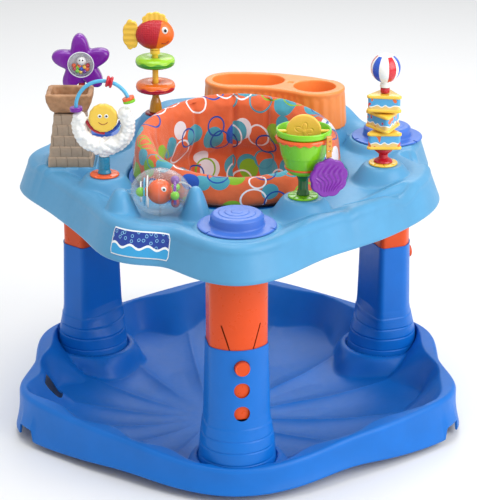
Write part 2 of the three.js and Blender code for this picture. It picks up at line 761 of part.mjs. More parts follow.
function addRollerBall() {
  const at = rollerPlace;
  const shellWall = 2;
  const outer = ball(1).rotateY(Math.PI / 2).scale(rollerHalfLength, rollerRadius, rollerRadius);
  const inner = ball(1).rotateY(Math.PI / 2)
    .scale(rollerHalfLength - shellWall, rollerRadius - shellWall, rollerRadius - shellWall);
  const bore = () => rodAlongX(rollerAxleRadius + gap, -60, 60, 10);
  const shell = toGeometry(toSolid(outer).subtract(toSolid(inner)).subtract(toSolid(bore())));
  add('roller_shell', shell, colours.clear, { at, finish: { transparent: true, opacity: 0.35 } });
  add('roller_axle', rodAlongX(rollerAxleRadius, -61.5, 61.5, 10), colours.white, { at });
  const fish = join(ball(1, 10, 6).scale(19, 13, 17), standingSlice(() => 9, 8, 6, 1).translate(-20, 0, 0));
  add('roller_fish', cut(fish, bore()), colours.orange, { at });
  const beads = [0, 1, 2, 3].map((i) => ball(6, 6, 4).translate(0, 20, 0).rotateX(rad(90 * i)));
  const ring = turned([[17, -2.5], [22, -2.5], [22, 2.5], [17, 2.5], [17, -2.5]], 12).rotateY(Math.PI / 2);
  add('roller_beads', join(ring, ...beads), colours.purple, { at: { x: at.x + 25, y: at.y, z: at.z } });
}

function addBucketToy() {
  addToyBase('bucket_base', bucketPlace, colours.lime);
  const low = 511;
  const rim = 588;
  const pinHeight = 582;
  const post = turned([
    [0, toyBaseTop + gap], [11, toyBaseTop + gap], [8, 482], [8, 500], [13, low], [0, low],
  ]);
  add('bucket_post', post, colours.green, { at: bucketPlace });
  const pail = turned([
    [0, low + gap], [21, low + gap], [24, 518], [41, 566], [41, 577], [45.5, 578], [45.5, rim], [42, rim],
    [38.5, 576], [38.5, 567], [21.5, 519], [18, 515], [0, 515],
  ]);
  const pinHoles = rodAlongX(3.4, -60, 60, 12).translate(0, 0, pinHeight);
  add('bucket', cut(pail, pinHoles), colours.lime, { at: bucketPlace });
  const band = turned([[41.3, 567], [45, 568], [46.5, 571.5], [45, 575.5], [41.3, 576.5], [41.3, 567]]);
  add('bucket_band', band, colours.orange, { at: bucketPlace });
  const dollar = join(standingSlice(() => 27, 16, 7, 2.5), rodAlongX(3, -44.5, 44.5, 12));
  add('sand_dollar', dollar.translate(0, 0, pinHeight), colours.yellow, { at: bucketPlace });
  const group = new THREE.Group(); // the strap hangs outside the rim, towards the front right
  group.position.copy(polar(52, 320, pinHeight)).add(new THREE.Vector3(bucketPlace.x, bucketPlace.y, 0));
  group.rotation.z = rad(20);
  assembly.add(group);
  const strap = skin([squareRing(5, 1.5, 1, -34), squareRing(5, 1.5, 1, 2.5)]);
  add('shell_strap', strap, colours.amber, { at: { group } });
  const scallops = (degrees) => 31 + 2.5 * Math.abs(Math.cos(rad(4.5 * (degrees - 90))));
  const shell = standingSlice(scallops, 24, 9, 2.5).translate(0, 0, -68);
  add('scallop_shell', shell, colours.purple, { at: { group } });
}

function addBlockSpinner() {
  addToyBase('spinner_base', spinnerPlace, colours.yellow);
  const post = turned([
    [0, toyBaseTop + gap], [17, toyBaseTop + gap], [8, 482], [8, 488], [17, 497], [17, 499.5], [4.5, 499.5],
    [4.5, 597], [8, 597], [8, 606], [4.5, 606], [4.5, 624], [0, 624],
  ], 12);
  add('spinner_post', post, colours.red, { at: spinnerPlace });
  const corner = 6;
  const prism = (low, turn) => {
    const points = [0, 120, 240].flatMap((way) => [-60, 0, 60].map((round) =>
      polar(27, way).add(polar(corner, way + round))));
    const ringAt = (z) => points.map((p) => new THREE.Vector3(p.x, p.y, z));
    return cut(skin([ringAt(low), ringAt(low + 30)]), rod(5, low - 1, low + 31, 16)).rotateZ(rad(turn));
  };
  add('prism_lower', prism(500, 90), colours.yellow, { at: spinnerPlace });
  add('prism_middle', prism(533, 275), colours.yellow, { at: spinnerPlace });
  add('prism_upper', prism(566, 82), colours.yellow, { at: spinnerPlace });
  const beach = join(ball(25.4).translate(0, 0, 640), rod(9, 606.5, 620));
  add('beach_ball', cut(beach, rod(5, 600, 625, 16)), colours.white, { at: spinnerPlace });
}

// ---- assembly ----

add('base_saucer', saucerShell(), colours.saucerBlue);
addStabilizers();
addLegs();
add('tray', trayShell(), colours.trayBlue);
add('snack_tray', snackTray(), colours.snackOrange);
add('seat_ring', seatRing(), colours.saucerBlue);
add('seat_fabric', seatFabric(), colours.seatOrange, { finish: { roughness: 0.9 } });
addFishToy();
addStarToy();
addCastle();
addCloudToy();
addRollerBall();
addBucketToy();
addBlockSpinner();

// The origin is on the floor, in the middle of everything.
const middle = new THREE.Box3().setFromObject(assembly).getCenter(new THREE.Vector3());
assembly.position.set(-middle.x, -middle.y, 0);

export default assembly;
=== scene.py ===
"""The looks of the activity jumper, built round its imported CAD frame.

Sizes here are in millimetres, counted from the upright axis that the seat turns about, with the front
towards -Y. make() writes them in metres in the frame's own place."""
import json
import math
import random

import bmesh
import bpy
import numpy as np
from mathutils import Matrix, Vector


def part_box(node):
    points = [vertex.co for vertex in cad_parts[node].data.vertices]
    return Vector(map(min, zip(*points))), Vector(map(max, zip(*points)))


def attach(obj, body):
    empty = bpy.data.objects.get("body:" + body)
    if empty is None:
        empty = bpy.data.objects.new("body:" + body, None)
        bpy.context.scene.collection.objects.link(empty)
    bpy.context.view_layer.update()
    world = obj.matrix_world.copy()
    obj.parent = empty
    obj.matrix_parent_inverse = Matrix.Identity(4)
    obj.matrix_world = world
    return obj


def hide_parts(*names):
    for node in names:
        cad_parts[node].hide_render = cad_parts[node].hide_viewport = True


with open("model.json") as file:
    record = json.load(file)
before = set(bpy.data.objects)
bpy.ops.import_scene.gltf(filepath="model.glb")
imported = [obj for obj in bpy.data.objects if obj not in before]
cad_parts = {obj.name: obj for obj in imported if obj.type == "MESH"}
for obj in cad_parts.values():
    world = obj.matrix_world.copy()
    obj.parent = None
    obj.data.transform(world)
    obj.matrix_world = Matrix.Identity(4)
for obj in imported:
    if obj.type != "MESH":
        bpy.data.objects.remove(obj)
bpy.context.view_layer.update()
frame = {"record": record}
record = frame["record"]
body_of = {node: body for body, nodes in record["behaviour"]["bodies"].items() for node in nodes}


def middle(node):
    """The middle of a node's box."""
    low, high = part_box(node)
    return np.array(low + high) * 500


axis = middle("seat_ring") * (1, 1, 0)


def place_of(node):
    """Where a node stands, seen from above."""
    return (middle(node) - axis) * (1, 1, 0)


def top_of(node):
    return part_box(node)[1].z * 1000


# ---- the driving sizes that the pieces share with the CAD ----

LEG_CIRCLE = 314
LEGS = {"front": (270, 10), "right": (30, -8), "left": (150, -10)}  # place and twist, in degrees
LEG_HALF_WIDTH = 50.7
LEG_FACE = 47
LEG_BACK = 30
LEG_CURVE = 60
LEG_WALL = 2.4
LEG_FOOT = 65
LEG_FLARE = 1.07
OUTER_LEG = (45.5, 258)
INNER_LEG = (136, 451.5)
BUTTON_HEIGHTS = (228, 188, 147)
BUTTON_RADIUS = 12.4

SAUCER = (372, [(270, 24, 17), (340, 39, 15), (25, 27, 15), (90, 42, 19), (156, 27, 15), (201, 38, 15)])
SAUCER_WAISTS = ((238, 6, 11), (303, 10, 12))  # where the outline draws in, by how much, how widely
SAUCER_DRAFT = 8
RIM_WIDTH = 22
SKIRT_BOTTOM = 10
SHEET = 4  # wall of the saucer and of the tray
COLLAR_TOP = 50
COLLAR_SEAT = 45
NOTCHES = (205, 337, 96)  # where the skirt is cut away beside the stabilizer feet
FLUTE_HUB = (-47, -75)
STABILIZERS = (("left", 212, 1), ("right", 330, -1), ("rear", 88, -1))  # place, and the way the blade points

TRAY = (322, [(270, 101, 18), (0, 32, 24), (33, 84, 15), (58, 56, 18), (108, 44, 20), (148, 80, 13),
              (169, 70, 19), (240, 50, 16)])
TRAY_DRAFT = 16
TRAY_BOTTOM = 395
TRAY_TOP = 455
TRAY_BOWL = 15
CAP_PAD = 456
SEAT_WELL = 191
SEAT_HOLE = 176
SEAT_SHELF = 424
CASTLE_FLOOR = 458
TOY_TOP = 470

SNACK_ARC = (240, 54, 92)  # radius of its middle line, and from where to where it goes round
SNACK_TOP = 541
SNACK_HALF_WIDTH = 54
SEAT_STEPS = 192
SEAT_SEAM = 93
LEG_HOLE = (68, -22)  # beside the seat's middle, and behind it
LEG_HOLE_RADIUS = 41
HOOP_RADIUS = 45


# ---- shapes: each is a pair of points and faces ----

def circle(steps):
    return np.linspace(0, 2 * np.pi, steps, endpoint=False)


def polar(radius, degrees, z=0.0):
    angle = np.radians(degrees)
    return np.stack(np.broadcast_arrays(radius * np.cos(angle), radius * np.sin(angle), z), axis=-1)


def smooth(value, low, high):
    """From 0 at low to 1 at high, with soft ends."""
    share = np.clip((value - low) / (high - low), 0, 1)
    return share * share * (3 - 2 * share)


def turn_between(a, b):
    return np.abs((a - b + 180) % 360 - 180)


def swell(degrees, at, height, spread):
    """A soft rise of this height at one place round a circle."""
    return height * np.exp(-(turn_between(degrees, at) / spread) ** 2)


def lobed(outline, degrees):
    """The radius of a circle with soft lobes that run into each other."""
    radius, lobes = outline
    return radius + np.cbrt(sum(swell(degrees, *lobe) ** 3 for lobe in lobes))


def soften(points, size, looped=False, steps=4):
    """Rounds the corners of a line of points."""
    points = [np.array(point, float) for point in points]
    line = []
    for i, corner in enumerate(points):
        if not looped and i in (0, len(points) - 1):
            line.append(corner)
            continue
        ends = []
        for other in (points[i - 1], points[(i + 1) % len(points)]):
            way = other - corner
            ends.append(corner + way * min(0.5, size / max(np.linalg.norm(way), 1e-6)))
        for t in np.linspace(0, 1, steps + 1):
            line.append(ends[0] * (1 - t) ** 2 + corner * 2 * t * (1 - t) + ends[1] * t ** 2)
    return np.array(line)


def skin(rings, looped=False):
    """A closed skin over rings of points. Looped rings meet their own start, others are capped."""
    rings = np.asarray(rings, float)
    layers, count = rings.shape[:2]
    faces = []
    for layer in range(layers if looped else layers - 1):
        here = layer * count
        after = (layer + 1) % layers * count
        for i in range(count):
            j = (i + 1) % count
            faces.append((here + i, here + j, after + j, after + i))
    if not looped:
        faces.append(tuple(range(count))[::-1])
        faces.append(tuple(range((layers - 1) * count, layers * count)))
    return rings.reshape(-1, 3), faces


def turned(profile, corner=1.0, looped=False, steps=72, wave=None):
    """A turned shape. wave(angles, radius, z) may change the radius and the height round the turn."""
    line = soften(profile, corner, looped)
    angles = circle(steps)
    rings = []
    for radius, z in line:
        radius = np.full(steps, max(radius, 0.05))
        z = np.full(steps, z)
        if wave:
            radius, z = wave(angles, radius, z)
        rings.append(np.stack([radius * np.cos(angles), radius * np.sin(angles), z], axis=1))
    return skin(rings, looped)


def peg(radius, low, high, corner=0.01, steps=72):
    """A round peg that stands on Z."""
    return turned([(0, low), (radius, low), (radius, high), (0, high)], corner, steps=steps)


def along_x(shape):
    """Lays a shape that stands on Z along X."""
    points, faces = shape
    return points[:, [2, 1, 0]] * (1, 1, -1), faces


def along_y(shape):
    """Lays a shape that stands on Z along Y, with its top to the front, or one that stands on Y along Z."""
    points, faces = shape
    return points[:, [0, 2, 1]] * (1, -1, 1), faces


def rod(radius, reach, corner=0.01, steps=32):
    """A round rod along X."""
    return along_x(peg(radius, -reach, reach, corner, steps))


def moved(shape, offset=(0, 0, 0), turn=0.0, scale=(1, 1, 1)):
    points, faces = shape
    angle = math.radians(turn)
    spin = np.array([[math.cos(angle), math.sin(angle), 0], [-math.sin(angle), math.cos(angle), 0],
                     [0, 0, 1]])
    return points * scale @ spin + offset, faces


def together(*shapes):
    points = []
    faces = []
    for shape in shapes:
        start = sum(len(part) for part in points)
        points.append(np.asarray(shape[0]))
        faces.extend(tuple(i + start for i in face) for face in shape[1])
    return np.concatenate(points), faces


def ball(radius, offset=(0, 0, 0), steps=32, scale=(1, 1, 1)):
    angles = np.linspace(-np.pi / 2, np.pi / 2, steps // 2 + 1)
    rings = [polar(max(radius * math.cos(a), 0.02), np.degrees(circle(steps)), radius * math.sin(a))
             for a in angles]
    return moved(skin(rings), offset, scale=scale)


def tube(path, radius, looped=False, steps=12):
    """A round tube along a path that doesn't run along Y."""
    path = np.asarray(path, float)
    ahead = np.roll(path, -1, axis=0) - np.roll(path, 1, axis=0)
    if not looped:
        ahead[0] = path[1] - path[0]
        ahead[-1] = path[-1] - path[-2]
    ahead /= np.linalg.norm(ahead, axis=1)[:, None]
    side = np.cross(ahead, (0, 1, 0))
    side /= np.linalg.norm(side, axis=1)[:, None]
    other = np.cross(ahead, side)
    radius = np.broadcast_to(radius, len(path))
    turn = circle(steps)
    rings = [point + r * (np.outer(np.cos(turn), s) + np.outer(np.sin(turn), o))
             for point, r, s, o in zip(path, radius, side, other)]
    return skin(rings, looped)


def arc(radius, start, end, count):
    """A path round the Y axis."""
    turn = np.radians(np.linspace(start, end, count))
    return np.stack([radius * np.cos(turn), 0 * turn, radius * np.sin(turn)], axis=1)


def hoop(radius, thickness, count, steps=12):
    """A wire ring round the Y axis."""
    return tube(arc(radius, 0, 360, count + 1)[:-1], thickness, looped=True, steps=steps)


def rounded_square(half_width, half_depth, corner, z, steps=12):
    """An outline with round corners."""
    ring = []
    for quarter, (sx, sy) in enumerate(((1, 1), (-1, 1), (-1, -1), (1, -1))):
        for turn in np.linspace(0, 90, steps):
            x, y, _ = polar(corner, quarter * 90 + turn)
            ring.append((sx * (half_width - corner) + x, sy * (half_depth - corner) + y, z))
    return np.array(ring)


def bean_ring(arc, half_width, z, steps=40):
    """An outline along an arc about the axis, with round ends. half_width may be one value per point."""
    radius, start, end = arc
    sides = np.linspace(start, end, steps)
    caps = np.linspace(0, 180, steps)[1:-1]
    middle_line = np.concatenate([polar(radius, sides), np.tile(polar(radius, end), (len(caps), 1)),
                                  polar(radius, sides[::-1]), np.tile(polar(radius, start), (len(caps), 1))])
    way = np.concatenate([sides, end + caps, sides[::-1] + 180, start + 180 + caps])
    ring = middle_line + polar(1, way) * np.reshape(half_width, (-1, 1))
    ring[:, 2] = z
    return ring


def standing(outline, thickness, edge, relief=None, steps=160, inner=24):
    """A flat slice that stands in the XZ plane, with round edges. relief(x, z) raises both faces."""
    degrees = np.degrees(circle(steps))
    radius = outline(degrees)
    half = thickness / 2
    rings = []
    for side in (-1, 1):
        layers = [(radius * share, half) for share in np.linspace(0.01, 1 - edge / radius.min(), inner)]
        layers += [(radius - edge * (1 - math.sin(a)), half - edge * (1 - math.cos(a)))
                   for a in np.radians((15, 30, 45, 60, 75, 90))]
        half_rings = []
        for reach, depth in layers:
            flat = polar(reach, degrees)
            x, z = flat[:, 0], flat[:, 1]
            raised = relief(x, z) * smooth(radius - reach, 0, edge) if relief else 0
            half_rings.append(np.stack([x, np.full(steps, side * depth) + side * raised, z], axis=1))
        rings += half_rings if side < 0 else half_rings[::-1]
    return skin(rings)


# ---- objects ----

def new_object(name, shape, material, at=(0, 0, 0), turn=0.0):
    points, faces = moved(shape, turn=turn)
    mesh = bpy.data.meshes.new(name)
    mesh.from_pydata(((points + at + axis) / 1000).tolist(), [], faces)
    shell = bmesh.new()
    shell.from_mesh(mesh)
    bmesh.ops.recalc_face_normals(shell, faces=shell.faces)
    shell.to_mesh(mesh)
    shell.free()
    mesh.shade_smooth()
    obj = bpy.data.objects.new(name, mesh)
    bpy.context.collection.objects.link(obj)
    mesh.materials.append(material)
    return obj


def make(name, shape, material, node, at=(0, 0, 0), turn=0.0, replaces=True):
    """A piece that rides with a CAD node's body, and stands for the node unless replaces is False."""
    obj = new_object(name, shape, material, at, turn)
    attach(obj, body_of[node])
    if replaces:
        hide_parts(node)
    return obj


def detail(name, shape, material, node, at=(0, 0, 0), turn=0.0):
    """A further piece on the one that stands for a node."""
    return make(name, shape, material, node, at, turn, replaces=False)


def apply_modifiers(obj):
    graph = bpy.context.evaluated_depsgraph_get()
    mesh = bpy.data.meshes.new_from_object(obj.evaluated_get(graph))
    obj.modifiers.clear()
    obj.data = mesh


def carve(obj, *shapes, at=(0, 0, 0), turn=0.0):
    """Cuts shapes out of a piece."""
    for shape in shapes:
        tool = new_object(obj.name + "_tool", shape, obj.data.materials[0], at, turn)
        cut = obj.modifiers.new("cut", "BOOLEAN")
        cut.object = tool
        cut.solver = "EXACT"
        apply_modifiers(obj)
        bpy.data.objects.remove(tool)


def melt(obj, voxel, rounds, strength=0.5):
    """Runs a piece's overlapping shapes into one soft skin."""
    remesh = obj.modifiers.new("melt", "REMESH")
    remesh.mode = "VOXEL"
    remesh.voxel_size = voxel / 1000
    remesh.use_smooth_shade = True
    blur = obj.modifiers.new("blur", "SMOOTH")
    blur.iterations = rounds
    blur.factor = strength
    apply_modifiers(obj)


def crisp(obj, degrees=35):
    """Keeps edges sharper than this angle."""
    obj.data.set_sharp_from_angle(angle=math.radians(degrees))


# ---- materials ----

def linear(colour):
    """A hexadecimal sRGB colour as linear red, green, blue and alpha."""
    parts = [(colour >> shift & 255) / 255 for shift in (16, 8, 0)]
    return [p / 12.92 if p <= 0.04045 else ((p + 0.055) / 1.055) ** 2.4 for p in parts] + [1]


class Paint:
    """A material and short names for the shader nodes that it's made of."""

    def __init__(self, name):
        self.material = bpy.data.materials.new(name)
        self.material.use_nodes = True
        self.tree = self.material.node_tree
        self.surface = self.tree.nodes["Principled BSDF"]
        self.place = self.add("TexCoord", {}).outputs["Object"]

    def feed(self, node, inputs):
        """Sets a node's inputs, each to a constant or to another node's output."""
        for key, value in inputs.items():
            if isinstance(value, bpy.types.NodeSocket):
                self.tree.links.new(value, node.inputs[key])
            else:
                node.inputs[key].default_value = value

    def add(self, kind, inputs, **settings):
        node = self.tree.nodes.new("ShaderNode" + kind)
        for key, value in settings.items():
            setattr(node, key, value)
        self.feed(node, inputs)
        return node

    def finish(self, inputs):
        self.feed(self.surface, inputs)
        return self.material

    def math(self, operation, a, b=0.0):
        return self.add("Math", {0: a, 1: b}, operation=operation).outputs[0]

    def near(self, value, centre, reach):
        """1 where a value is within reach of the centre, and 0 elsewhere."""
        return self.add("Math", {0: value, 1: centre, 2: reach}, operation="COMPARE").outputs[0]

    def noise(self, size, detail=2.0):
        """Noise from 0 to 1, with lumps of this size in millimetres."""
        lumps = {"Vector": self.place, "Scale": 1000 / size, "Detail": detail}
        return self.add("TexNoise", lumps).outputs["Fac"]

    def cells(self, vector, scale, randomness, dimensions="3D"):
        """Scattered cells: the distance from their middles, and a colour for each."""
        return self.add("TexVoronoi", {"Vector": vector, "Scale": scale, "Randomness": randomness},
                        voronoi_dimensions=dimensions).outputs

    def stripes(self, value, stops):
        """Even colours, each from its own value up. The first is at 0."""
        node = self.add("ValToRGB", {0: value})
        node.color_ramp.interpolation = "CONSTANT"
        elements = node.color_ramp.elements
        elements.remove(elements[1])
        for position, shade in stops:
            stop = elements.new(position) if position else elements[0]
            stop.color = linear(shade)
        return node.outputs[0]

    def ramp(self, value, low, high, to_low=0.0, to_high=1.0):
        return self.add("MapRange", {"Value": value, "From Min": low, "From Max": high, "To Min": to_low,
                                     "To Max": to_high}).outputs["Result"]

    def mix(self, factor, a, b):
        a, b = (linear(c) if isinstance(c, int) else c for c in (a, b))
        return self.add("Mix", {0: factor, 6: a, 7: b}, data_type="RGBA").outputs[2]

    def offset(self, centre):
        """x, y and z in millimetres from a point that is counted from the seat's axis."""
        here = tuple((centre + axis) / 1000)
        moved_to = self.add("VectorMath", {0: self.place, 1: here}, operation="SUBTRACT").outputs[0]
        scaled = self.add("VectorMath", {0: moved_to, "Scale": 1000.0}, operation="SCALE").outputs[0]
        return self.add("SeparateXYZ", {0: scaled}).outputs

    def bump(self, height, depth, before=None):
        """Relief of this depth in millimetres."""
        inputs = {"Height": height, "Distance": depth / 1000, "Strength": 1.0}
        if before:
            inputs["Normal"] = before
        return self.add("Bump", inputs).outputs[0]

    def plastic(self, colour, rough=0.35, grain=0.03, mottle=0.06, coat=0.0, relief=None, grain_size=0.7,
                shine=0.5):
        """Moulded plastic: an even colour with faint flow marks, a fine grain and uneven gloss."""
        base = linear(colour) if isinstance(colour, int) else colour
        flow = self.ramp(self.noise(60, 3), 0.3, 0.7)
        shade = self.mix(flow, (1 - mottle,) * 3 + (1,), (1 + mottle / 2,) * 3 + (1,))
        tint = self.add("Mix", {0: 1.0, 6: base, 7: shade}, data_type="RGBA", blend_type="MULTIPLY")
        ripple = self.bump(self.noise(14, 2), 0.12, relief)
        return self.finish({
            "Base Color": tint.outputs[2],
            "Roughness": self.ramp(self.noise(9, 4), 0.25, 0.75, rough - 0.05, rough + 0.07),
            "Normal": self.bump(self.noise(grain_size, 2), grain, ripple),
            "Coat Weight": coat,
            "Coat Roughness": 0.12,
            "Specular IOR Level": shine,
        })


def plastic(name, colour, **looks):
    return Paint(name).plastic(colour, **looks)


def clear_plastic():
    """See-through plastic: mostly clear where it's faced, and fuller at its edges."""
    paint = Paint("clear")
    facing = paint.add("LayerWeight", {"Blend": 0.35}).outputs["Facing"]
    return paint.finish({
        "Base Color": linear(0xD4DEE4),
        "Alpha": paint.ramp(facing, 0.1, 1.0, 0.03, 0.4),
        "Roughness": paint.ramp(paint.noise(8, 2), 0.3, 0.7, 0.04, 0.1),
        "Normal": paint.bump(paint.noise(12, 1), 0.15),
        "Coat Weight": 0.6,
        "Coat Roughness": 0.03,
        "IOR": 2.2,
    })


saucer_blue = plastic("saucer_blue", 0x0C6DC8, rough=0.4, grain=0.05, mottle=0.08, shine=0.3)
leg_blue = plastic("leg_blue", 0x086CC8, rough=0.36, grain=0.04, shine=0.3)
tray_blue = plastic("tray_blue", 0x5298C4, rough=0.38, grain=0.05, mottle=0.07, shine=0.4)
cap_blue = plastic("cap_blue", 0x3E6EC8, rough=0.34)
leg_orange = plastic("leg_orange", 0xDE4A06, rough=0.3, grain=0.01, shine=0.35)
snack_orange = plastic("snack_orange", 0xF48F45, rough=0.36, grain=0.04)
gloss = {
    name: plastic("toy_" + name, colour, rough=0.22, grain=0.015, mottle=0.04, coat=0.25)
    for name, colour in {
        "red": 0xC01428, "dark_red": 0x8E1020, "yellow": 0xF5C845, "orange": 0xF2601C, "lime": 0x7CCB14,
        "green": 0x1F6A22, "purple": 0x74109A, "teal": 0x2B8AAE, "sky": 0x54B2DC, "white": 0xF1F1EE,
        "black": 0x101014, "blue": 0x1D55C0,
    }.items()
}
amber = plastic("amber", 0xD4901E, rough=0.18, grain=0.01, mottle=0.1, coat=0.5)
clear = clear_plastic()


# ---- saucer base ----

def saucer_edge(degrees):
    """The saucer's outline, drawn in on both sides of the front leg."""
    return lobed(SAUCER, degrees) - sum(swell(degrees, *waist) for waist in SAUCER_WAISTS)


def skirt_lift(degrees):
    """How far the skirt's lower edge is arched up."""
    arches = ((240, 8, 17), (270, 3, 16), (301, 12, 17), (60, 8, 16), (120, 8, 16))
    return sum(swell(degrees, *arch) for arch in arches)


def rim_top(degrees):
    """The rim's height: low at the front, and high behind and at the sides."""
    waves = ((270, -20, 28), (203, 8, 16), (338, 8, 16), (90, 8, 30))
    return 78 + sum(swell(degrees, *wave) for wave in waves)


def soft_max(a, b, blend):
    """The higher of two surfaces, which run into each other over this blend."""
    return np.maximum(a, b) + np.maximum(blend - np.abs(a - b), 0) ** 2 / (4 * blend)


def saucer_base_height(radius, degrees, creep=0.0):
    """The saucer's inside without its flutes and collars. The wall's foot creeps outward by this much."""
    shoulder = saucer_edge(degrees) - SAUCER_DRAFT
    floor = SHEET + 22 * (np.maximum(0, radius - 150) / 170) ** 1.5
    wall_foot = shoulder - RIM_WIDTH - 46 + creep
    climb = np.clip((radius - wall_foot) / (shoulder - RIM_WIDTH + 2 + 0.3 * creep - wall_foot), 0, 1)
    return floor + (rim_top(degrees) - floor) * climb ** 1.2, climb


def saucer_height(radius, degrees):
    """The saucer's inside: a scallop of flutes from its hub, and a collar round each leg's foot."""
    x, y = radius * np.cos(np.radians(degrees)), radius * np.sin(np.radians(degrees))
    hub = np.hypot(x - FLUTE_HUB[0], y - FLUTE_HUB[1])
    way = np.arctan2(y - FLUTE_HUB[1], x - FLUTE_HUB[0])
    scallop = np.abs(np.sin(7 * way + 0.6))
    height, climb = saucer_base_height(radius, degrees, 25 * np.sin(14 * way - 0.8))
    hollow = (scallop ** 0.6 - 0.6) * smooth(hub, 20, 190)
    height = height - 7 * hollow * (1 - smooth(climb, 0.0, 0.35))
    height = np.maximum(height, SHEET - 2)
    for at, _ in LEGS.values():
        px, py, _ = polar(LEG_CIRCLE, at)
        away = np.hypot(x - px, y - py)
        petals = 5 * np.cos(5 * np.arctan2(y - py, x - px))
        collar = COLLAR_TOP * (1 - smooth(away - petals * smooth(away, 76, 92), 74, 101))
        height = np.where(away < 120, soft_max(height, collar, 7), height)
        rise = smooth(away, LEG_FOOT + 0.6, LEG_FOOT + 1.6)
        height = np.where(away < LEG_FOOT + 1.6, COLLAR_SEAT - 0.3 + (height - COLLAR_SEAT) * rise, height)
    return height


def saucer_shape(steps=600, reach=150):
    """One skin: the inside from the middle out, over the rolled rim, down the skirt, and back under."""
    degrees = np.degrees(circle(steps))
    edge = saucer_edge(degrees)
    shoulder = edge - SAUCER_DRAFT
    notch = sum(1 - smooth(turn_between(degrees, at) * np.radians(1) * edge, 19, 23) for at in NOTCHES)
    bottom = SKIRT_BOTTOM + np.maximum(21 * notch, skirt_lift(degrees))
    rings = []

    def ring(radius, z):
        rings.append(polar(np.broadcast_to(radius, steps), degrees, np.broadcast_to(z, steps)))

    lip = shoulder - 7
    for share in np.linspace(0.004, 1, reach):
        ring(lip * share, saucer_height(lip * share, degrees))
    inner_top = saucer_height(lip, degrees)
    for angle in np.radians((20, 40, 60, 80)):
        ring(lip + 7 * math.sin(angle), inner_top - 9 * (1 - math.cos(angle)))
    for share in np.linspace(0, 1, 14):
        lean = shoulder + (edge - shoulder) * share - 2.5 * math.sin(math.pi * share)
        ring(lean, (inner_top - 9) * (1 - share) + (bottom + 2) * share)
    ring(edge - 0.6, bottom + 0.5)
    ring(edge - 2, bottom)
    ring(edge - SHEET, bottom + 1)
    ring(shoulder - SHEET, inner_top - 12)
    for share in np.linspace(1, 0.004, 60):
        radius = (lip - 3) * share
        under = saucer_base_height(radius, degrees)[0] - SHEET
        ring(radius, np.maximum(np.minimum(under, saucer_height(radius, degrees) - 3), 0))
    return skin(rings)


def build_saucer():
    saucer = make("saucer_moulding", saucer_shape(), saucer_blue, "base_saucer")
    handhold = skin([rounded_square(16, 33, 11, z) for z in (5, 130)])
    carve(saucer, handhold, at=(-328, -42, 0))
    crisp(saucer, 50)
    for name, at, side in STABILIZERS:
        build_stabilizer(name, at, side)


def build_stabilizer(name, at, side):
    """A foot that folds about its pin: a knuckle, a blade and a sole across the blade's end."""
    pin = middle("stabilizer_pin_" + name) - axis
    knuckle = along_x(turned([(3.3, -10), (6.5, -10), (6.5, 10), (3.3, 10)], 1.2, True, 40))
    blade = [rounded_square(10, 3.6 + 1.2 * share, 2, 0, 6)[:, [0, 2, 1]]
             + (0, side * (5.6 + 19 * share), -1.5 * share) for share in np.linspace(0, 1, 6)]
    sole = [rounded_square(10, 7.5, 2.5, 0, 6)[:, [0, 2, 1]] + (0, side * y, -2)
            for y in (21, 22, 25, 26)]
    foot = make("stabilizer_" + name, together(knuckle, skin(blade), skin(sole)), leg_blue,
                "stabilizer_foot_" + name, pin, at)
    crisp(foot)
    make("stabilizer_rod_" + name, rod(3, 13, 0.8), leg_blue, "stabilizer_pin_" + name, pin, at)


# ---- telescoping legs ----

def leg_radius(degrees, inset):
    """The leg's D section, with its corners rounded."""
    c, s = np.cos(np.radians(degrees)), np.abs(np.sin(np.radians(degrees)))
    curve = LEG_CURVE - inset
    behind = LEG_CURVE - LEG_FACE
    front = -behind * c + np.sqrt(curve ** 2 - (behind * s) ** 2)
    side = (LEG_HALF_WIDTH - inset) / np.maximum(s, 1e-6)
    back = np.where(c < 0, (LEG_BACK - inset) / np.maximum(-c, 1e-6), 1e6)
    sharp = np.minimum(np.minimum(front, side), back)
    blur = [np.roll(sharp, shift) for shift in range(-2, 3)]
    return np.mean(blur, axis=0)


def leg_ring(z, inset, roundness=0.0, scale=1.0, steps=120):
    """The leg's section at a height, from D-shaped to round."""
    degrees = np.degrees(circle(steps))
    section = leg_radius(degrees, inset) * scale
    return polar(section * (1 - roundness) + (LEG_FOOT - inset) * roundness, degrees, z)


def outer_leg_shape():
    """A sleeve that widens into a round foot with three ledges."""
    heights = np.linspace(*OUTER_LEG, 260)
    roundness = np.interp(heights, (45, 84, 112, 134), (1, 0.76, 0.26, 0))
    scale = np.interp(heights, (130, OUTER_LEG[1]), (LEG_FLARE, 1))
    ledges = 1.1 * smooth(heights, 118, 120) + sum(np.exp(-((heights - z) / 1.1) ** 2) for z in (59, 80, 99))
    outside = [leg_ring(z, 0.1 + ledge, round_, size)
               for z, round_, size, ledge in zip(heights, roundness, scale, ledges)]
    outside[-1] = leg_ring(OUTER_LEG[1] - 0.6, 0.5)
    inside = [leg_ring(z, LEG_WALL, round_, size)
              for z, round_, size in list(zip(heights, roundness, scale))[::-14]]
    return skin([*outside, leg_ring(OUTER_LEG[1], 1.1), *inside], looped=True)


def inner_leg_shape():
    inset = LEG_WALL + 0.35
    heights = np.linspace(*INNER_LEG, 16)
    outside = [leg_ring(z, inset) for z in heights]
    inside = [leg_ring(z, inset + 2.5) for z in heights[::-1]]
    return skin(outside + inside, looped=True)


def button_hole(radius, z):
    return moved(rod(radius, 30, steps=64), (50, 0, z))


def slit(side):
    """The cut beside the spring tongue, from its hinge down to the foot."""
    path = ((32, 300), (17, 250), (17, INNER_LEG[0] - 2))
    rings = [[(x, side * y + across, z) for x, across in ((20, -1), (80, -1), (80, 1), (20, 1))]
             for y, z in path]
    return skin(rings)


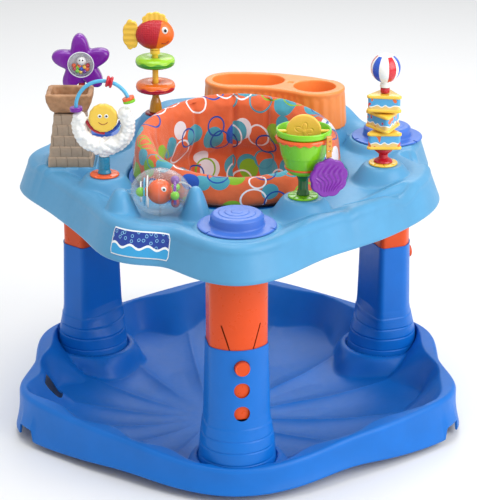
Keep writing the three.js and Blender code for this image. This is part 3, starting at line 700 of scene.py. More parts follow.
def build_legs():
    for name, (at, twist) in LEGS.items():
        place = polar(LEG_CIRCLE, at)
        turn = at + twist
        outer = make("leg_sleeve_" + name, outer_leg_shape(), leg_blue, "outer_leg_" + name, place, turn)
        carve(outer, *[button_hole(BUTTON_RADIUS + 0.8, z) for z in BUTTON_HEIGHTS], at=place, turn=turn)
        crisp(outer, 40)
        inner = make("leg_tube_" + name, inner_leg_shape(), leg_orange, "inner_leg_" + name, place, turn)
        hole = button_hole(BUTTON_RADIUS + 0.4, BUTTON_HEIGHTS[0])
        carve(inner, hole, slit(1), slit(-1), at=place, turn=turn)
        crisp(inner, 40)
        button = turned([(0, LEG_FACE - 12), (12.3, LEG_FACE - 12), (12.3, LEG_FACE + 5.8),
                         (11, LEG_FACE + 5.8), (10, LEG_FACE + 5.2), (0, LEG_FACE + 5.9)], 1, steps=64)
        make("button_" + name, moved(along_x(button), (0, 0, BUTTON_HEIGHTS[0])), leg_orange,
             "spring_button_" + name, place, turn)
        build_cap(name, place, turn)


def build_cap(name, place, turn):
    """A stepped drum on a flange with two locking slots."""
    seat = CAP_PAD + 0.3
    steps_up = [(r, seat + z) for r, z in (
        (0, -16), (21, -16), (21, 0), (64, 0), (63.8, 2.6), (60, 3.2), (45, 3.2), (43.2, 5.5), (42.6, 18),
        (38.5, 21.8), (30, 21.8), (29, 22.8), (20, 22.8), (19, 23.8), (10, 23.8), (9, 24.6), (0, 24.9))]
    cap = make("cap_" + name, turned(steps_up, 1.4, steps=96), cap_blue, "leg_cap_" + name, place, turn)
    notch = skin([[(x, y, z) for x, y in ((56, -1.6), (70, -1.6), (70, 1.6), (56, 1.6))]
                  for z in (seat - 1, seat + 6)])
    around = [moved(notch, turn=degrees) for degrees in (60, 180, 300)]
    carve(cap, *around, at=place, turn=turn)
    crisp(cap, 50)


# ---- tray ----

def tray_base_height(x, y):
    """The tray's dished top, higher under the snack tray, without its mounds and dents."""
    degrees = np.degrees(np.arctan2(y, x)) % 360
    radius = np.hypot(x, y)
    rise = smooth(degrees, 45, 57) * (1 - smooth(degrees, 112, 132))
    depth = TRAY_BOWL - 5 * rise
    crest = lobed(TRAY, degrees) - TRAY_DRAFT - 26
    share = np.clip((radius - SEAT_WELL - 6) / (crest - SEAT_WELL - 6), 0, 1)
    return TRAY_TOP + 25 * rise - depth * (1 - smooth(share, 0.58, 1))


def dent(x, y, centre, length, width, turn, depth):
    """A shallow dent with a crisp far edge."""
    c, s = math.cos(math.radians(turn)), math.sin(math.radians(turn))
    along = ((x - centre[0]) * c + (y - centre[1]) * s) / length
    across = ((y - centre[1]) * c - (x - centre[0]) * s) / width
    return depth * np.exp(-(along ** 6 + across ** 4))


def box_distance(x, y, centre, half_width, half_depth):
    return np.maximum(np.abs(x - centre[0]) - half_width, np.abs(y - centre[1]) - half_depth)


def snack_distance(x, y):
    """How far a point lies from the middle line of the snack tray."""
    radius, start, end = SNACK_ARC
    degrees = np.degrees(np.arctan2(y, x)) % 360
    nearest = polar(radius, np.clip(degrees, start, end))
    return np.hypot(x - nearest[..., 0], y - nearest[..., 1])


def tray_height(x, y):
    """The tray's top with its dents, the mounds under the toys, the legs' pads and the castle's recess."""
    height = tray_base_height(x, y)
    height = height - dent(x, y, (238, -148), 68, 14, 35, 15) - dent(x, y, (313, 42), 32, 11, 115, 14)
    height = height - dent(x, y, (150, -236), 34, 9, 20, 6)

    def mound(here, centre, top, flat, spread, blend=10):
        away = np.hypot(x - centre[0], y - centre[1])
        floor = TRAY_TOP - TRAY_BOWL - 4
        shape = top - (top - floor) * smooth(away, flat, spread) ** 0.85
        raised = soft_max(here, np.where(away < spread, shape, floor), blend)
        return np.where(away < flat, top, np.where(away < spread, raised, here))

    for node in ("cloud_base", "bucket_base", "spinner_base"):
        height = mound(height, place_of(node), TOY_TOP, 31, 62, 6)
    height = mound(height, place_of("fish_base"), top_of("fish_base") - 4.3, 23, 54, 6)
    roller = place_of("roller_axle")
    for shift, top, spread in ((58, 491, 31), (-64, 487, 40)):  # the roller's two fins
        reach = np.hypot(x - roller[0] - shift, (y - roller[1] + 5) * 0.8)
        fin = top - 58 * smooth(reach, 1, spread) ** 1.5
        height = np.where(reach < spread, soft_max(height, fin, 5), height)
    for at, _ in LEGS.values():
        centre = polar(LEG_CIRCLE, at)
        away = np.hypot(x - centre[0], y - centre[1])
        pad = CAP_PAD - 18 * smooth(away, 66, 84)
        height = np.where(away < 84, soft_max(height, pad, 3), height)
        height = CAP_PAD - 0.2 + (height - CAP_PAD + 0.2) * smooth(away, 65, 69)
    away = snack_distance(x, y)
    height = TOY_TOP - 0.2 + (height - TOY_TOP + 0.2) * smooth(away, SNACK_HALF_WIDTH, 63)
    castle = place_of("castle_tower")
    ledge = smooth(-box_distance(x, y, castle, 54, 48), 0, 9)
    height = height + (np.maximum(height, CASTLE_FLOOR + 2.5) - height) * ledge
    recess = smooth(-box_distance(x, y, castle, 43.5, 37.5), 0, 2.5)
    return height + (CASTLE_FLOOR - height) * recess


def tray_shape(steps=600, reach=130):
    """One skin: from the seat's shelf up over the well's edge, out, down the wall, and back under."""
    degrees = np.degrees(circle(steps))
    edge = lobed(TRAY, degrees)
    shoulder = edge - TRAY_DRAFT
    rings = []

    def ring(radius, z):
        rings.append(polar(np.broadcast_to(radius, steps), degrees, np.broadcast_to(z, steps)))

    def height_at(radius, height):
        return height(radius * np.cos(np.radians(degrees)), radius * np.sin(np.radians(degrees)))

    ring(SEAT_HOLE, SEAT_SHELF - 3.5)
    ring(SEAT_HOLE, SEAT_SHELF)
    ring(SEAT_WELL - 0.6, SEAT_SHELF)
    ring(SEAT_WELL, SEAT_SHELF + 1)
    start = height_at(SEAT_WELL + 5, tray_height)
    for angle in np.radians((10, 30, 50, 70)):
        ring(SEAT_WELL + 5 - 5 * math.cos(angle), start - 5 + 5 * math.sin(angle))
    turn_over = shoulder - 15
    for share in np.linspace(0, 1, reach):
        radius = SEAT_WELL + 5 + (turn_over - SEAT_WELL - 5) * share
        ring(radius, height_at(radius, tray_height))
    lip = height_at(turn_over, tray_height)
    for angle in np.radians((12, 24, 36, 48, 60, 72, 84)):
        ring(turn_over + 15 * math.sin(angle), lip - 14 * (1 - math.cos(angle)))
    for share in np.linspace(0, 1, 12):
        ring(shoulder + (edge - shoulder) * share, (lip - 14) * (1 - share) + (TRAY_BOTTOM + 3) * share)
    ring(edge - 0.8, TRAY_BOTTOM + 0.8)
    ring(edge - 2.5, TRAY_BOTTOM)
    ring(edge - SHEET, TRAY_BOTTOM + 1)
    ring(shoulder - SHEET, lip - 18)
    for share in np.linspace(1, 0, 24):
        radius = SEAT_WELL + 9 + (turn_over - 2 - SEAT_WELL - 9) * share
        under = np.minimum(height_at(radius, tray_base_height), height_at(radius, tray_height))
        ring(radius, under - SHEET)
    ring(SEAT_WELL + SHEET, SEAT_SHELF - 3)
    return skin(rings, looped=True)


def build_tray():
    tray = make("tray_moulding", tray_shape(), tray_blue, "tray")
    plugs = [moved(peg(22.5, 430, 480), polar(LEG_CIRCLE, at)) for at, _ in LEGS.values()]
    carve(tray, *plugs, moved(rod(4.4, 63), middle("roller_axle") - axis))
    crisp(tray, 60)
    build_badge()


def badge_point(degrees, share, proud=0.5):
    """A point just off the tray's wall, from its bottom at 1 to its top at 0, and round its turn below 0."""
    edge = lobed(TRAY, degrees)
    turn_over = edge - TRAY_DRAFT - 15
    lip = tray_height(*polar(turn_over, degrees)[:2])
    if share < 0:
        angle = math.radians(90 + 240 * share)
        return polar(turn_over + (15 + proud) * math.sin(angle), degrees,
                     lip - 14 + (14 + proud) * math.cos(angle))
    z = (lip - 14) * (1 - share) + (TRAY_BOTTOM + 3) * share
    return polar(edge - TRAY_DRAFT * (1 - share) + proud, degrees, z)


def badge_paint():
    """Bubbles over a wave, in a pale border."""
    paint = Paint("badge")
    u, v, _ = paint.add("SeparateXYZ", {0: paint.add("UVMap", {}, uv_map="sticker").outputs[0]}).outputs
    ripple = paint.math("MULTIPLY", paint.math("SINE", paint.math("MULTIPLY", u, 22.0)), 0.07)
    wave = paint.math("ADD", v, ripple)
    flat = paint.add("CombineXYZ", {0: paint.math("MULTIPLY", u, 2.6), 1: v}).outputs[0]
    bubble = paint.near(paint.cells(flat, 3.6, 0.7, "2D")["Distance"], 0.2, 0.035)
    border_u = paint.math("ABSOLUTE", paint.math("SUBTRACT", u, 0.5))
    border_v = paint.math("ABSOLUTE", paint.math("SUBTRACT", v, 0.5))
    border = paint.math("MAXIMUM", paint.math("GREATER_THAN", border_u, 0.485),
                        paint.math("GREATER_THAN", border_v, 0.46))
    colour = paint.mix(bubble, 0x1E3F9A, 0x8FD0EE)
    colour = paint.mix(paint.math("GREATER_THAN", wave, 0.62), colour, 0x35A0D8)
    colour = paint.mix(paint.near(wave, 0.6, 0.045), colour, 0xF2F6F8)
    colour = paint.mix(border, colour, 0xE9EEF2)
    return paint.plastic(colour, rough=0.3, grain=0.01, mottle=0.03)


def build_badge(rows=16, columns=48):
    """A plain sticker on the tray's front left wall."""
    points = []
    places = []
    for v in np.arange(rows + 1) / rows:
        for u in np.arange(columns + 1) / columns:
            squeeze = 1 - 0.06 * max(0, abs(2 * v - 1) - 0.7) / 0.3
            degrees = 244.2 + 8.2 * (2 * u - 1) * squeeze
            points.append(badge_point(degrees, 0.92 * v - 0.12))
            places.append((u, v))
    count = columns + 1
    faces = [(r * count + c, r * count + c + 1, (r + 1) * count + c + 1, (r + 1) * count + c)
             for r in range(rows) for c in range(columns)]
    badge = detail("badge_sticker", (np.array(points), faces), badge_paint(), "tray")
    layer = badge.data.uv_layers.new(name="sticker")
    for loop in badge.data.loops:
        layer.data[loop.index].uv = places[loop.vertex_index]
    thick = badge.modifiers.new("thick", "SOLIDIFY")
    thick.thickness = 0.0004
    thick.offset = 0
    apply_modifiers(badge)


# ---- snack tray ----

def build_snack_tray():
    """A pleated bean, fuller at the cup's end, with a cup holder, a well and a small dimple."""
    foot = TOY_TOP + 0.4
    radius, start, end = SNACK_ARC
    around = np.arange(156)
    levels = [(foot, SNACK_HALF_WIDTH), (foot + 6, SNACK_HALF_WIDTH), (SNACK_TOP - 10, 50.5),
              (SNACK_TOP - 3, 51.5), (SNACK_TOP, 49)]
    cup_end = 4 * np.exp(-((around - 137) / 26) ** 2)
    pleats = 0.9 * np.cos(around * np.pi / 2)
    body = []
    for z in np.linspace(foot, SNACK_TOP, 40):
        half = np.interp(z, *zip(*levels))
        fade = 1 - smooth(z, SNACK_TOP - 14, SNACK_TOP - 8)
        body.append(bean_ring(SNACK_ARC, half + pleats * fade + cup_end, z))
    cup_at = polar(radius, start)
    cup = turned([(0, SNACK_TOP - 66), (35, SNACK_TOP - 66), (38.5, SNACK_TOP + 5), (0, SNACK_TOP + 5)], 3)
    well_arc = (radius, 78, end)
    well = skin([bean_ring(well_arc, 34.5, SNACK_TOP - 34), bean_ring(well_arc, 37.5, SNACK_TOP + 5)])
    hollow = skin([bean_ring(SNACK_ARC, 47.5, foot - 4), bean_ring(SNACK_ARC, 44, foot + 4)])
    tray = make("snack_moulding", skin(body), snack_orange, "snack_tray")
    carve(tray, moved(cup, cup_at), well, hollow)
    spot = (radius, 66, 66.01)
    carve(tray, skin([bean_ring(spot, 5, SNACK_TOP - 3), bean_ring(spot, 9, SNACK_TOP + 4)]))
    melt(tray, 1.4, 4)


# ---- seat ----

def seat_profile(degrees):
    """Up the outside of the bowl, over its padded edge, and down the inside. The back is higher."""
    back = math.sin(math.radians(degrees))
    rise = max(0.0, back)
    top = 523 + 30 * back
    outer = 166 - 32 * rise ** 1.5
    inner = 134 - 14 * rise
    return [
        (26, 300), (88, 308), (138, 345), (153, 437), (180, 439.5), (184.5, 449), (180, 470),
        (outer + 10, top - 12), (outer, top - 4), (outer - 10, top - 9),
        (inner + 3, 462), (145, 431), (130, 351), (84, 317), (26, 309),
    ]


def seat_lines():
    """The seat's profile at each step round it, as evenly many points on soft curves."""
    lines = []
    for degrees in np.degrees(circle(SEAT_STEPS)):
        line = soften(seat_profile(degrees), 14, steps=5)
        travel = np.concatenate([[0], np.cumsum(np.linalg.norm(np.diff(line, axis=0), axis=1))])
        even = np.linspace(0, travel[-1], 110)
        lines.append(np.stack([np.interp(even, travel, line[:, k]) for k in (0, 1)], axis=1))
    return np.array(lines)


def seat_paint():
    """Orange cloth printed with overlapping discs and rings."""
    paint = Paint("seat_print")
    uv = paint.add("UVMap", {}, uv_map="cloth").outputs[0]
    discs = (0x4AA0B4, 0xEEE8EE, 0x8ABB2C, 0x4BA3BA, 0x2458BC, 0x52A8BC)
    rings = (0xF4F0F4, 0x1F4FA8, 0x49A0B6, 0xF4F0F4, 0x8ABB2C, 0x1F4FA8)
    colour = paint.mix(paint.noise(35, 2), 0xDC5C30, 0xE87446)
    layers = (
        (68, (0.1, 0.31), 17.5, None), (78, (3.7, 1.2), 16, None), (66, (7.3, 5.1), 18, 1.5),
        (72, (2.6, 8.4), 16.5, 1.4),
    )
    for cell, shift, size, line in layers:
        palette = rings if line else discs
        at = paint.add("VectorMath", {0: uv, 1: (*shift, 0)}, operation="ADD").outputs[0]
        cells = paint.cells(at, 1000 / cell, 0.5, "2D")
        chance = paint.add("SeparateColor", {0: cells["Color"]}).outputs
        size_here = paint.ramp(chance[1], 0, 1, size * 0.85 / cell, size * 1.15 / cell)
        if line:
            mask = paint.near(cells["Distance"], size_here, line / cell)
        else:
            mask = paint.math("LESS_THAN", cells["Distance"], size_here)
        shares = np.arange(len(palette)) / len(palette)
        colour = paint.mix(mask, colour, paint.stripes(chance[0], zip(shares, palette)))
    thread = 1000 * 2 * math.pi / 0.9
    x, y, _ = paint.add("SeparateXYZ", {0: uv}).outputs
    weave = paint.math("MULTIPLY", paint.math("SINE", paint.math("MULTIPLY", x, thread)),
                       paint.math("SINE", paint.math("MULTIPLY", y, thread)))
    wrinkle = paint.bump(paint.noise(26, 3), 2.2)
    pucker = paint.bump(paint.noise(7, 3), 0.5, wrinkle)
    return paint.finish({
        "Base Color": paint.mix(paint.ramp(weave, -1, 1, 0, 0.1), colour, (0.02, 0.01, 0.01, 1)),
        "Roughness": paint.ramp(paint.noise(18, 3), 0.3, 0.7, 0.78, 0.95),
        "Normal": paint.bump(weave, 0.08, pucker),
        "Sheen Weight": 0.35,
        "Sheen Roughness": 0.45,
        "Specular IOR Level": 0.25,
    })


def puff(obj, cap, pressure=4.0, frames=20):
    """Fills a closed cloth skin with air. No point moves further than cap, in millimetres."""
    before = np.zeros(len(obj.data.vertices) * 3, np.float32)
    obj.data.vertices.foreach_get("co", before)
    cloth = obj.modifiers.new("cloth", "CLOTH")
    cloth.settings.use_pressure = True
    cloth.settings.uniform_pressure_force = pressure
    cloth.settings.tension_stiffness = 12
    cloth.settings.shear_stiffness = 8
    cloth.settings.bending_stiffness = 0.6
    cloth.settings.effector_weights.gravity = 0
    scene = bpy.context.scene
    for step in range(1, frames + 1):
        scene.frame_set(step)
    graph = bpy.context.evaluated_depsgraph_get()
    after = np.zeros_like(before)
    mesh = obj.evaluated_get(graph).to_mesh()
    mesh.vertices.foreach_get("co", after)
    obj.evaluated_get(graph).to_mesh_clear()
    obj.modifiers.clear()
    scene.frame_set(1)
    move = (after - before).reshape(-1, 3)
    length = np.maximum(np.linalg.norm(move, axis=1), 1e-9)
    share = np.minimum(1, cap / 1000 / length)
    return before.reshape(-1, 3) + move * share[:, None]


def build_seat():
    lines = seat_lines()
    degrees = np.degrees(circle(SEAT_STEPS))
    rings = [polar(lines[:, k, 0], degrees, lines[:, k, 1]) for k in range(lines.shape[1])]
    seat = make("seat_pad", skin(rings), seat_paint(), "seat_fabric")
    x, y = LEG_HOLE
    holes = [moved(peg(LEG_HOLE_RADIUS, 250, 374), (side * x, y, 0)) for side in (-1, 1)]
    carve(seat, *holes)
    remesh = seat.modifiers.new("remesh", "REMESH")
    remesh.mode = "VOXEL"
    remesh.voxel_size = 0.004
    apply_modifiers(seat)
    points = puff(seat, 6)
    seat.data.vertices.foreach_set("co", points.astype(np.float32).ravel())
    smoother = seat.modifiers.new("relax", "SMOOTH")
    smoother.iterations = 3
    finer = seat.modifiers.new("finer", "SUBSURF")
    finer.levels = 1
    finer.render_levels = 1
    apply_modifiers(seat)
    sew(seat, lines)
    seat.data.shade_smooth()
    build_bindings()


def build_bindings():
    """The taped edges: one where the pad meets its ring, dark brown, which is also painted shade where the
    pad goes into the ring, and one round each leg hole.
    """
    # dark brown: a tape, and at the same time painted shade where the pad meets its ring
    tape_and_shade = plastic("binding", 0x3A2320, rough=0.85, grain=0.1, grain_size=1.2)
    teal = plastic("hole_binding", 0x2F7F9C, rough=0.85, grain=0.1, grain_size=1.2)
    edge = moved(along_y(hoop(176.5, 3.2, 160)), (0, 0, 441))
    # the dark band at the pad's foot stands for the tape and for the shade under the pad
    hem_and_painted_shade = detail("seat_binding_and_shade", edge, tape_and_shade, "seat_fabric")
    for side, name in ((-1, "left"), (1, "right")):
        edge = along_y(hoop(LEG_HOLE_RADIUS - 0.5, 2.6, 90))
        points, faces = moved(edge, (side * LEG_HOLE[0], LEG_HOLE[1], 0))
        reach = np.hypot(points[:, 0], points[:, 1])
        points[:, 2] += np.interp(reach, (24, 85, 134, 150), (307, 315, 349, 436))
        band = detail("leg_hole_binding_" + name, (points, faces), teal, "seat_fabric")


def sew(seat, lines):
    """Presses in the seams and the gathers, and keeps the pad off the snack tray when it turns."""
    count = len(seat.data.vertices)
    points = np.zeros(count * 3, np.float32)
    seat.data.vertices.foreach_get("co", points)
    points = points.reshape(-1, 3) * 1000 - axis
    x, y, z = points.T
    radius = np.hypot(x, y)
    room = np.interp(z, (450, 468), (187, 183))
    points[:, :2] *= np.minimum(1, room / np.maximum(radius, 1))[:, None]
    radius = np.minimum(radius, room)
    degrees = np.degrees(np.arctan2(y, x)) % 360
    inside = smooth(z, 330, 400) * (radius < np.interp(z, (440, 560), (152, 128)))
    seams = ((SEAT_SEAM, 7, 2.4), (64, 5, 2.2), (126, 5, 2.2), (205, 3, 3), (335, 3, 3))
    push = sum(swell(degrees, *seam) for seam in seams) * inside
    push += 1.6 * np.sin(np.radians(degrees * 17)) * np.exp(-((z - 452) / 12) ** 2) * (radius > 160)
    outward = points[:, :2] / np.maximum(radius, 1)[:, None]
    points[:, :2] += outward * push[:, None] * (radius < 186)[:, None]
    seat.data.vertices.foreach_set("co", ((points + axis) / 1000).astype(np.float32).ravel())
    lay_print(seat, lines, degrees, np.stack([radius, z], axis=1))


def lay_print(seat, lines, degrees, here):
    """Lays the print over the cloth, along the profile lines and round, with its join at the back seam."""
    count = len(degrees)
    column = np.round(degrees / 360 * SEAT_STEPS).astype(int) % SEAT_STEPS
    along = np.zeros(count)
    batch = 20000
    for start in range(0, count, batch):
        part = slice(start, start + batch)
        line = lines[column[part]]
        foot, step = line[:, :-1], np.diff(line, axis=1)
        share = np.sum((here[part, None] - foot) * step, axis=2) / np.sum(step ** 2, axis=2)
        share = np.clip(share, 0, 1)
        away = np.linalg.norm(foot + step * share[..., None] - here[part, None], axis=2)
        nearest = np.argmin(away, axis=1)
        along[part] = nearest + share[np.arange(len(nearest)), nearest]
    length = np.mean(np.sum(np.linalg.norm(np.diff(lines, axis=1), axis=2), axis=1))
    along /= lines.shape[1] - 1
    around = (degrees - SEAT_SEAM) % 360
    layer = seat.data.uv_layers.new(name="cloth")
    corners = np.zeros(len(seat.data.loops), np.int32)
    seat.data.loops.foreach_get("vertex_index", corners)
    u = around[corners]
    first = np.zeros(len(seat.data.polygons), np.int32)
    total = np.zeros(len(seat.data.polygons), np.int32)
    seat.data.polygons.foreach_get("loop_start", first)
    seat.data.polygons.foreach_get("loop_total", total)
    face_of = np.repeat(np.arange(len(first)), total)
    highest = np.maximum.reduceat(u, first)
    u = np.where((highest[face_of] > 300) & (u < 60), u + 360, u)
    across = 0.151 * np.radians(u) - 0.021 * np.sin(np.radians(u))
    flat = np.stack([across, along[corners] * length / 1000], axis=1)
    layer.data.foreach_set("uv", flat.astype(np.float32).ravel())


def build_seat_ring():
    """The track that hangs in the tray's well and that the seat turns on."""
    ring = turned([(160, 432), (160, 436), (189, 436), (189, 424.5), (175, 424.5), (175, 410), (171, 410),
                   (171, 432)], 1.4, True, 160)
    make("seat_track", ring, leg_blue, "seat_ring")


# ---- toys ----

def toy_base(node, colour, petals=6):
    """A round foot with cuts between its petals."""
    foot = TOY_TOP + 0.3

    def cuts(angles, radius, z):
        groove = np.exp(-(np.sin(angles * petals / 2) / 0.16) ** 2) * smooth(radius, 12, 15)
        return radius, z - 1.8 * groove * (z > foot + 2.2)

    rings = [(0, foot), (24.6, foot), (25, foot + 1.6), (24, foot + 3.4), (14, foot + 3.6), (0, foot + 3.6)]
    make(node + "_disc", turned(rings, 0.7, steps=120, wave=cuts), gloss[colour], node, place_of(node))


def two_tone(name, centre, upper, lower):
    """Two colours of plastic that meet on a wavy line."""
    paint = Paint(name)
    x, y, z = paint.offset(centre)
    wave = paint.math("SINE", paint.math("MULTIPLY", paint.math("ARCTAN2", y, x), 8.0))
    line = paint.math("SUBTRACT", z, paint.math("MULTIPLY", wave, 1.6))
    colour = paint.mix(paint.math("GREATER_THAN", line, 0.0), lower, upper)
    return paint.plastic(colour, rough=0.22, grain=0.015, mottle=0.04, coat=0.25)


def eye(name, node, at, radius, look, iris=0.5):
    """A white dot with a black one on it, flattened along the way it looks."""
    look = np.array(look, float) / np.linalg.norm(look)
    thin = 1 - 0.62 * np.abs(look)
    detail(name + "_white", ball(radius, at, 24, thin), gloss["white"], node)
    pupil = at + look * radius * 0.28 + (radius * 0.12, 0, radius * 0.05)
    detail(name + "_pupil", ball(radius * iris, pupil, 20, thin * 0.95), gloss["black"], node)


def smile(name, node, at, width, sag, bow=0.0):
    """A thin curved line in the XZ plane."""
    share = np.linspace(-1, 1, 24)
    path = np.stack([share * width / 2, bow * share ** 2, sag * (share ** 2 - 1)], axis=1) + at
    detail(name, tube(path, 0.55, steps=10), gloss["dark_red"], node)


def build_fish_toy():
    place = place_of("fish_base")
    base = top_of("fish_base") - 4
    disc = turned([(0, base), (20, base), (20, base + 2.5), (18.5, base + 4), (0, base + 4)], 1)
    make("fish_foot_disc", disc, gloss["dark_red"], "fish_base", place)
    foot = base + 4.3
    flare = turned([(0, foot), (12.3, foot), (12, foot + 3), (9.5, 508), (6.5, 516), (5.8, 524), (0, 524)], 2)
    make("fish_flare", flare, amber, "fish_pole", place)
    pole = turned([(0, 524.1), (8.8, 524.1), (8.8, 526.6), (5.6, 526.6), (5.6, 571.2), (8.8, 571.2),
                   (8.8, 573.6), (5.6, 573.6), (5.6, 597.5), (9.2, 598.5), (9.2, 605.8), (5.6, 605.8),
                   (5.6, 626), (0, 626)], 0.6)
    detail("fish_rod", pole, gloss["yellow"], "fish_pole", place)
    for name, low, upper, lower in (("lower", 527, 0xF2701C, 0xB8142C), ("upper", 574, 0x9AD42A, 0x3F9A18)):
        ring = turned([(6.5, low + 0.2), (26, low + 0.2), (34, low + 3), (36, low + 8), (36, low + 13),
                       (33.5, low + 18), (25, low + 20), (15, low + 19.8), (6.5, low + 17)], 4, True, 96)
        paint = two_tone("disc_" + name, place + (0, 0, low + 11), upper, lower)
        make("disc_" + name, ring, paint, "fish_disc_" + name, place)
    build_fish(place)


def fish_paint(heart):
    """A scaled red body and a smooth orange head."""
    paint = Paint("fish_skin")
    x, _, z = paint.offset(heart)
    head_line = paint.math("SUBTRACT", x, paint.math("MULTIPLY", z, 0.22))
    head = paint.math("GREATER_THAN", head_line, 7.5)
    colour = paint.mix(head, 0xC01428, 0xF2701C)
    scales = paint.cells(paint.place, 300.0, 0.25)["Distance"]
    relief = paint.bump(paint.math("MULTIPLY", scales, paint.math("SUBTRACT", 1.0, head)), 1.2)
    return paint.plastic(colour, rough=0.3, grain=0.015, mottle=0.05, coat=0.2, relief=relief)


def build_fish(place):
    heart = 634
    points, faces = ball(1, (0, 0, heart), 64, (35, 17, 28))
    points[:, 2] += 2 * np.exp(-((points[:, 0] - 20) / 12) ** 2)
    make("fish_body", (points, faces), fish_paint(place + (0, 0, heart)), "fish_figure", place)

    def webbed(reach, waves, ribs):
        """A flat fin with a wavy edge. ribs(x, z) gives the way across its ribs."""
        return standing(lambda a: reach + 2 * np.abs(np.cos(np.radians(waves * a))), 6.5, 2,
                        lambda x, z: 0.3 * np.sin(0.9 * ribs(x, z)))

    tail = moved(webbed(17.5, 3.5, lambda x, z: z), (-43, 0, heart), scale=(0.8, 1, 1.45))
    detail("fish_tail", tail, gloss["yellow"], "fish_figure", place)
    fin = moved(webbed(17, 4.5, lambda x, z: x), (0, 0, 659), scale=(1.25, 1, 0.9))
    detail("fish_fin", fin, gloss["yellow"], "fish_figure", place)
    neck = turned([(6.5, 606.6), (8.6, 606.6), (9, 609), (7.5, 612), (7.5, 620), (6.5, 620)], 0.8, True)
    detail("fish_neck", neck, gloss["yellow"], "fish_figure", place)
    for side, name in ((-1, "front"), (1, "rear")):
        eye("fish_eye_" + name, "fish_figure", place + (18, side * 12.6, 644), 7.4, (0.25, side, 0.1))
        smile("fish_smile_" + name, "fish_figure", place + (17, side * 13.4, 625), 18, 5, side * -2.4)


def build_star_toy():
    place = place_of("star_stand")
    foot = CAP_PAD + 26
    stand = turned([(0, foot), (19.6, foot), (19.4, foot + 4), (8, foot + 9), (6, foot + 15), (6, 566),
                    (0, 566)], 1.6)
    make("star_post", stand, gloss["red"], "star_stand", place)
    heart = place + (0, 0, 593)

    def arm(degrees):
        return 31 + 23 * ((1 + np.cos(np.radians(5 * (degrees - 93)))) / 2) ** 0.9

    star = make("star_moulding", standing(arm, 26, 9, steps=240), gloss["purple"], "star_body", heart)
    opening = turned([(0, -3), (22.8, -3), (23.5, 20), (0, 20)], 0.01, steps=96)
    carve(star, along_y(opening), at=heart)
    crisp(star, 50)
    collar = turned([(6.3, 558), (8.8, 558), (9, 572), (6.3, 572)], 1, True)
    detail("star_collar", collar, gloss["purple"], "star_body", place)
    dome = turned([(23, -1), (23, 12), (19, 18.5), (10, 23), (0, 24), (0, 22.8), (9.4, 21.8), (18, 17.6),
                   (21.8, 11.6), (21.8, -1)], 2, True, 96)
    make("star_dome", along_y(dome), clear, "star_window", heart)
    silver = plastic("silver_rim", 0xE6E9EC, rough=0.25, grain=0.01, mottle=0.02)
    detail("star_dome_rim", moved(hoop(23, 0.9, 96), (0, -13.3, 0)), silver, "star_body", heart)
    back = moved(along_x(peg(22.6, 0, 0.6, 0.2)), turn=90)
    detail("star_backing", moved(back, (0, -3, 0)), silver, "star_body", heart)
    random.seed(7)
    beads = (
        (-13, -3, "orange"), (-12, -9, "red"), (-7, -13, "lime"), (-1, -15, "yellow"), (6, -14, "purple"),
        (11, -10, "orange"), (-6, -7, "lime"), (0, -9, "blue"), (6, -6, "yellow"), (12, -3, "red"),
        (-3, -4, "orange"),
    )
    for k, (x, z, colour) in enumerate(beads):
        at = heart + (x, -5.5 - random.random() * 2, z)
        make(f"star_bead_{k}", ball(4.1, at, 20), gloss[colour], "star_beads", replaces=k == 0)
    detail("star_face", ball(8.5, heart + (1, -7, 6), 28), gloss["white"], "star_beads")
    for side in (-1, 1):
        pupil = ball(1.5, heart + (1 + side * 2.8, -14.4, 8.4), 14)
        detail(f"star_face_eye_{side > 0:d}", pupil, gloss["black"], "star_beads")


def build_castle():
    """A tower of five courses, each a little narrower than the one below, with an open hopper on top."""
    place = place_of("castle_tower")
    foot = CASTLE_FLOOR + 0.3
    rows = 5
    course = (551 - foot) / rows
    rings = []
    for row in range(rows + 1):
        half = np.array((39, 33)) - np.array((13, 10)) * row / rows
        z = foot + course * row
        rings.append(rounded_square(*half - 0.4, 4, z + 0.01))
        if row < rows:
            rings.append(rounded_square(*half, 4, z + 0.8))
            rings.append(rounded_square(*half - (0.8, 0.7), 4, z + course - 2.2))
            rings.append(rounded_square(*half - (2.4, 1.9), 4, z + course - 1.2))
    tower = make("castle_brickwork", skin(rings), brick_paint(place + (0, 0, foot), course), "castle_tower",
                 place)
    crisp(tower, 30)
    build_hopper(place)


def brick_paint(foot, course, brick=19):
    """Rough tan stone with upright joints that shift by half a brick from course to course."""
    paint = Paint("castle_bricks")
    x, y, z = paint.offset(foot)
    row = paint.math("FLOOR", paint.math("DIVIDE", z, course))
    shifted = paint.math("ADD", paint.math("ADD", x, y), paint.math("MULTIPLY", row, brick / 2))
    joint = paint.math("ABSOLUTE", paint.math("SINE", paint.math("MULTIPLY", shifted, math.pi / brick)))
    groove = paint.ramp(joint, 0.0, 0.09)
    stone = paint.mix(paint.noise(5, 4), 0xA68F7A, 0xB8A38D)
    relief = paint.bump(paint.noise(4, 4), 0.35, paint.bump(groove, 0.9))
    colour = paint.mix(groove, 0x92806C, stone)
    return paint.plastic(colour, rough=0.62, grain=0.12, mottle=0.05, relief=relief)


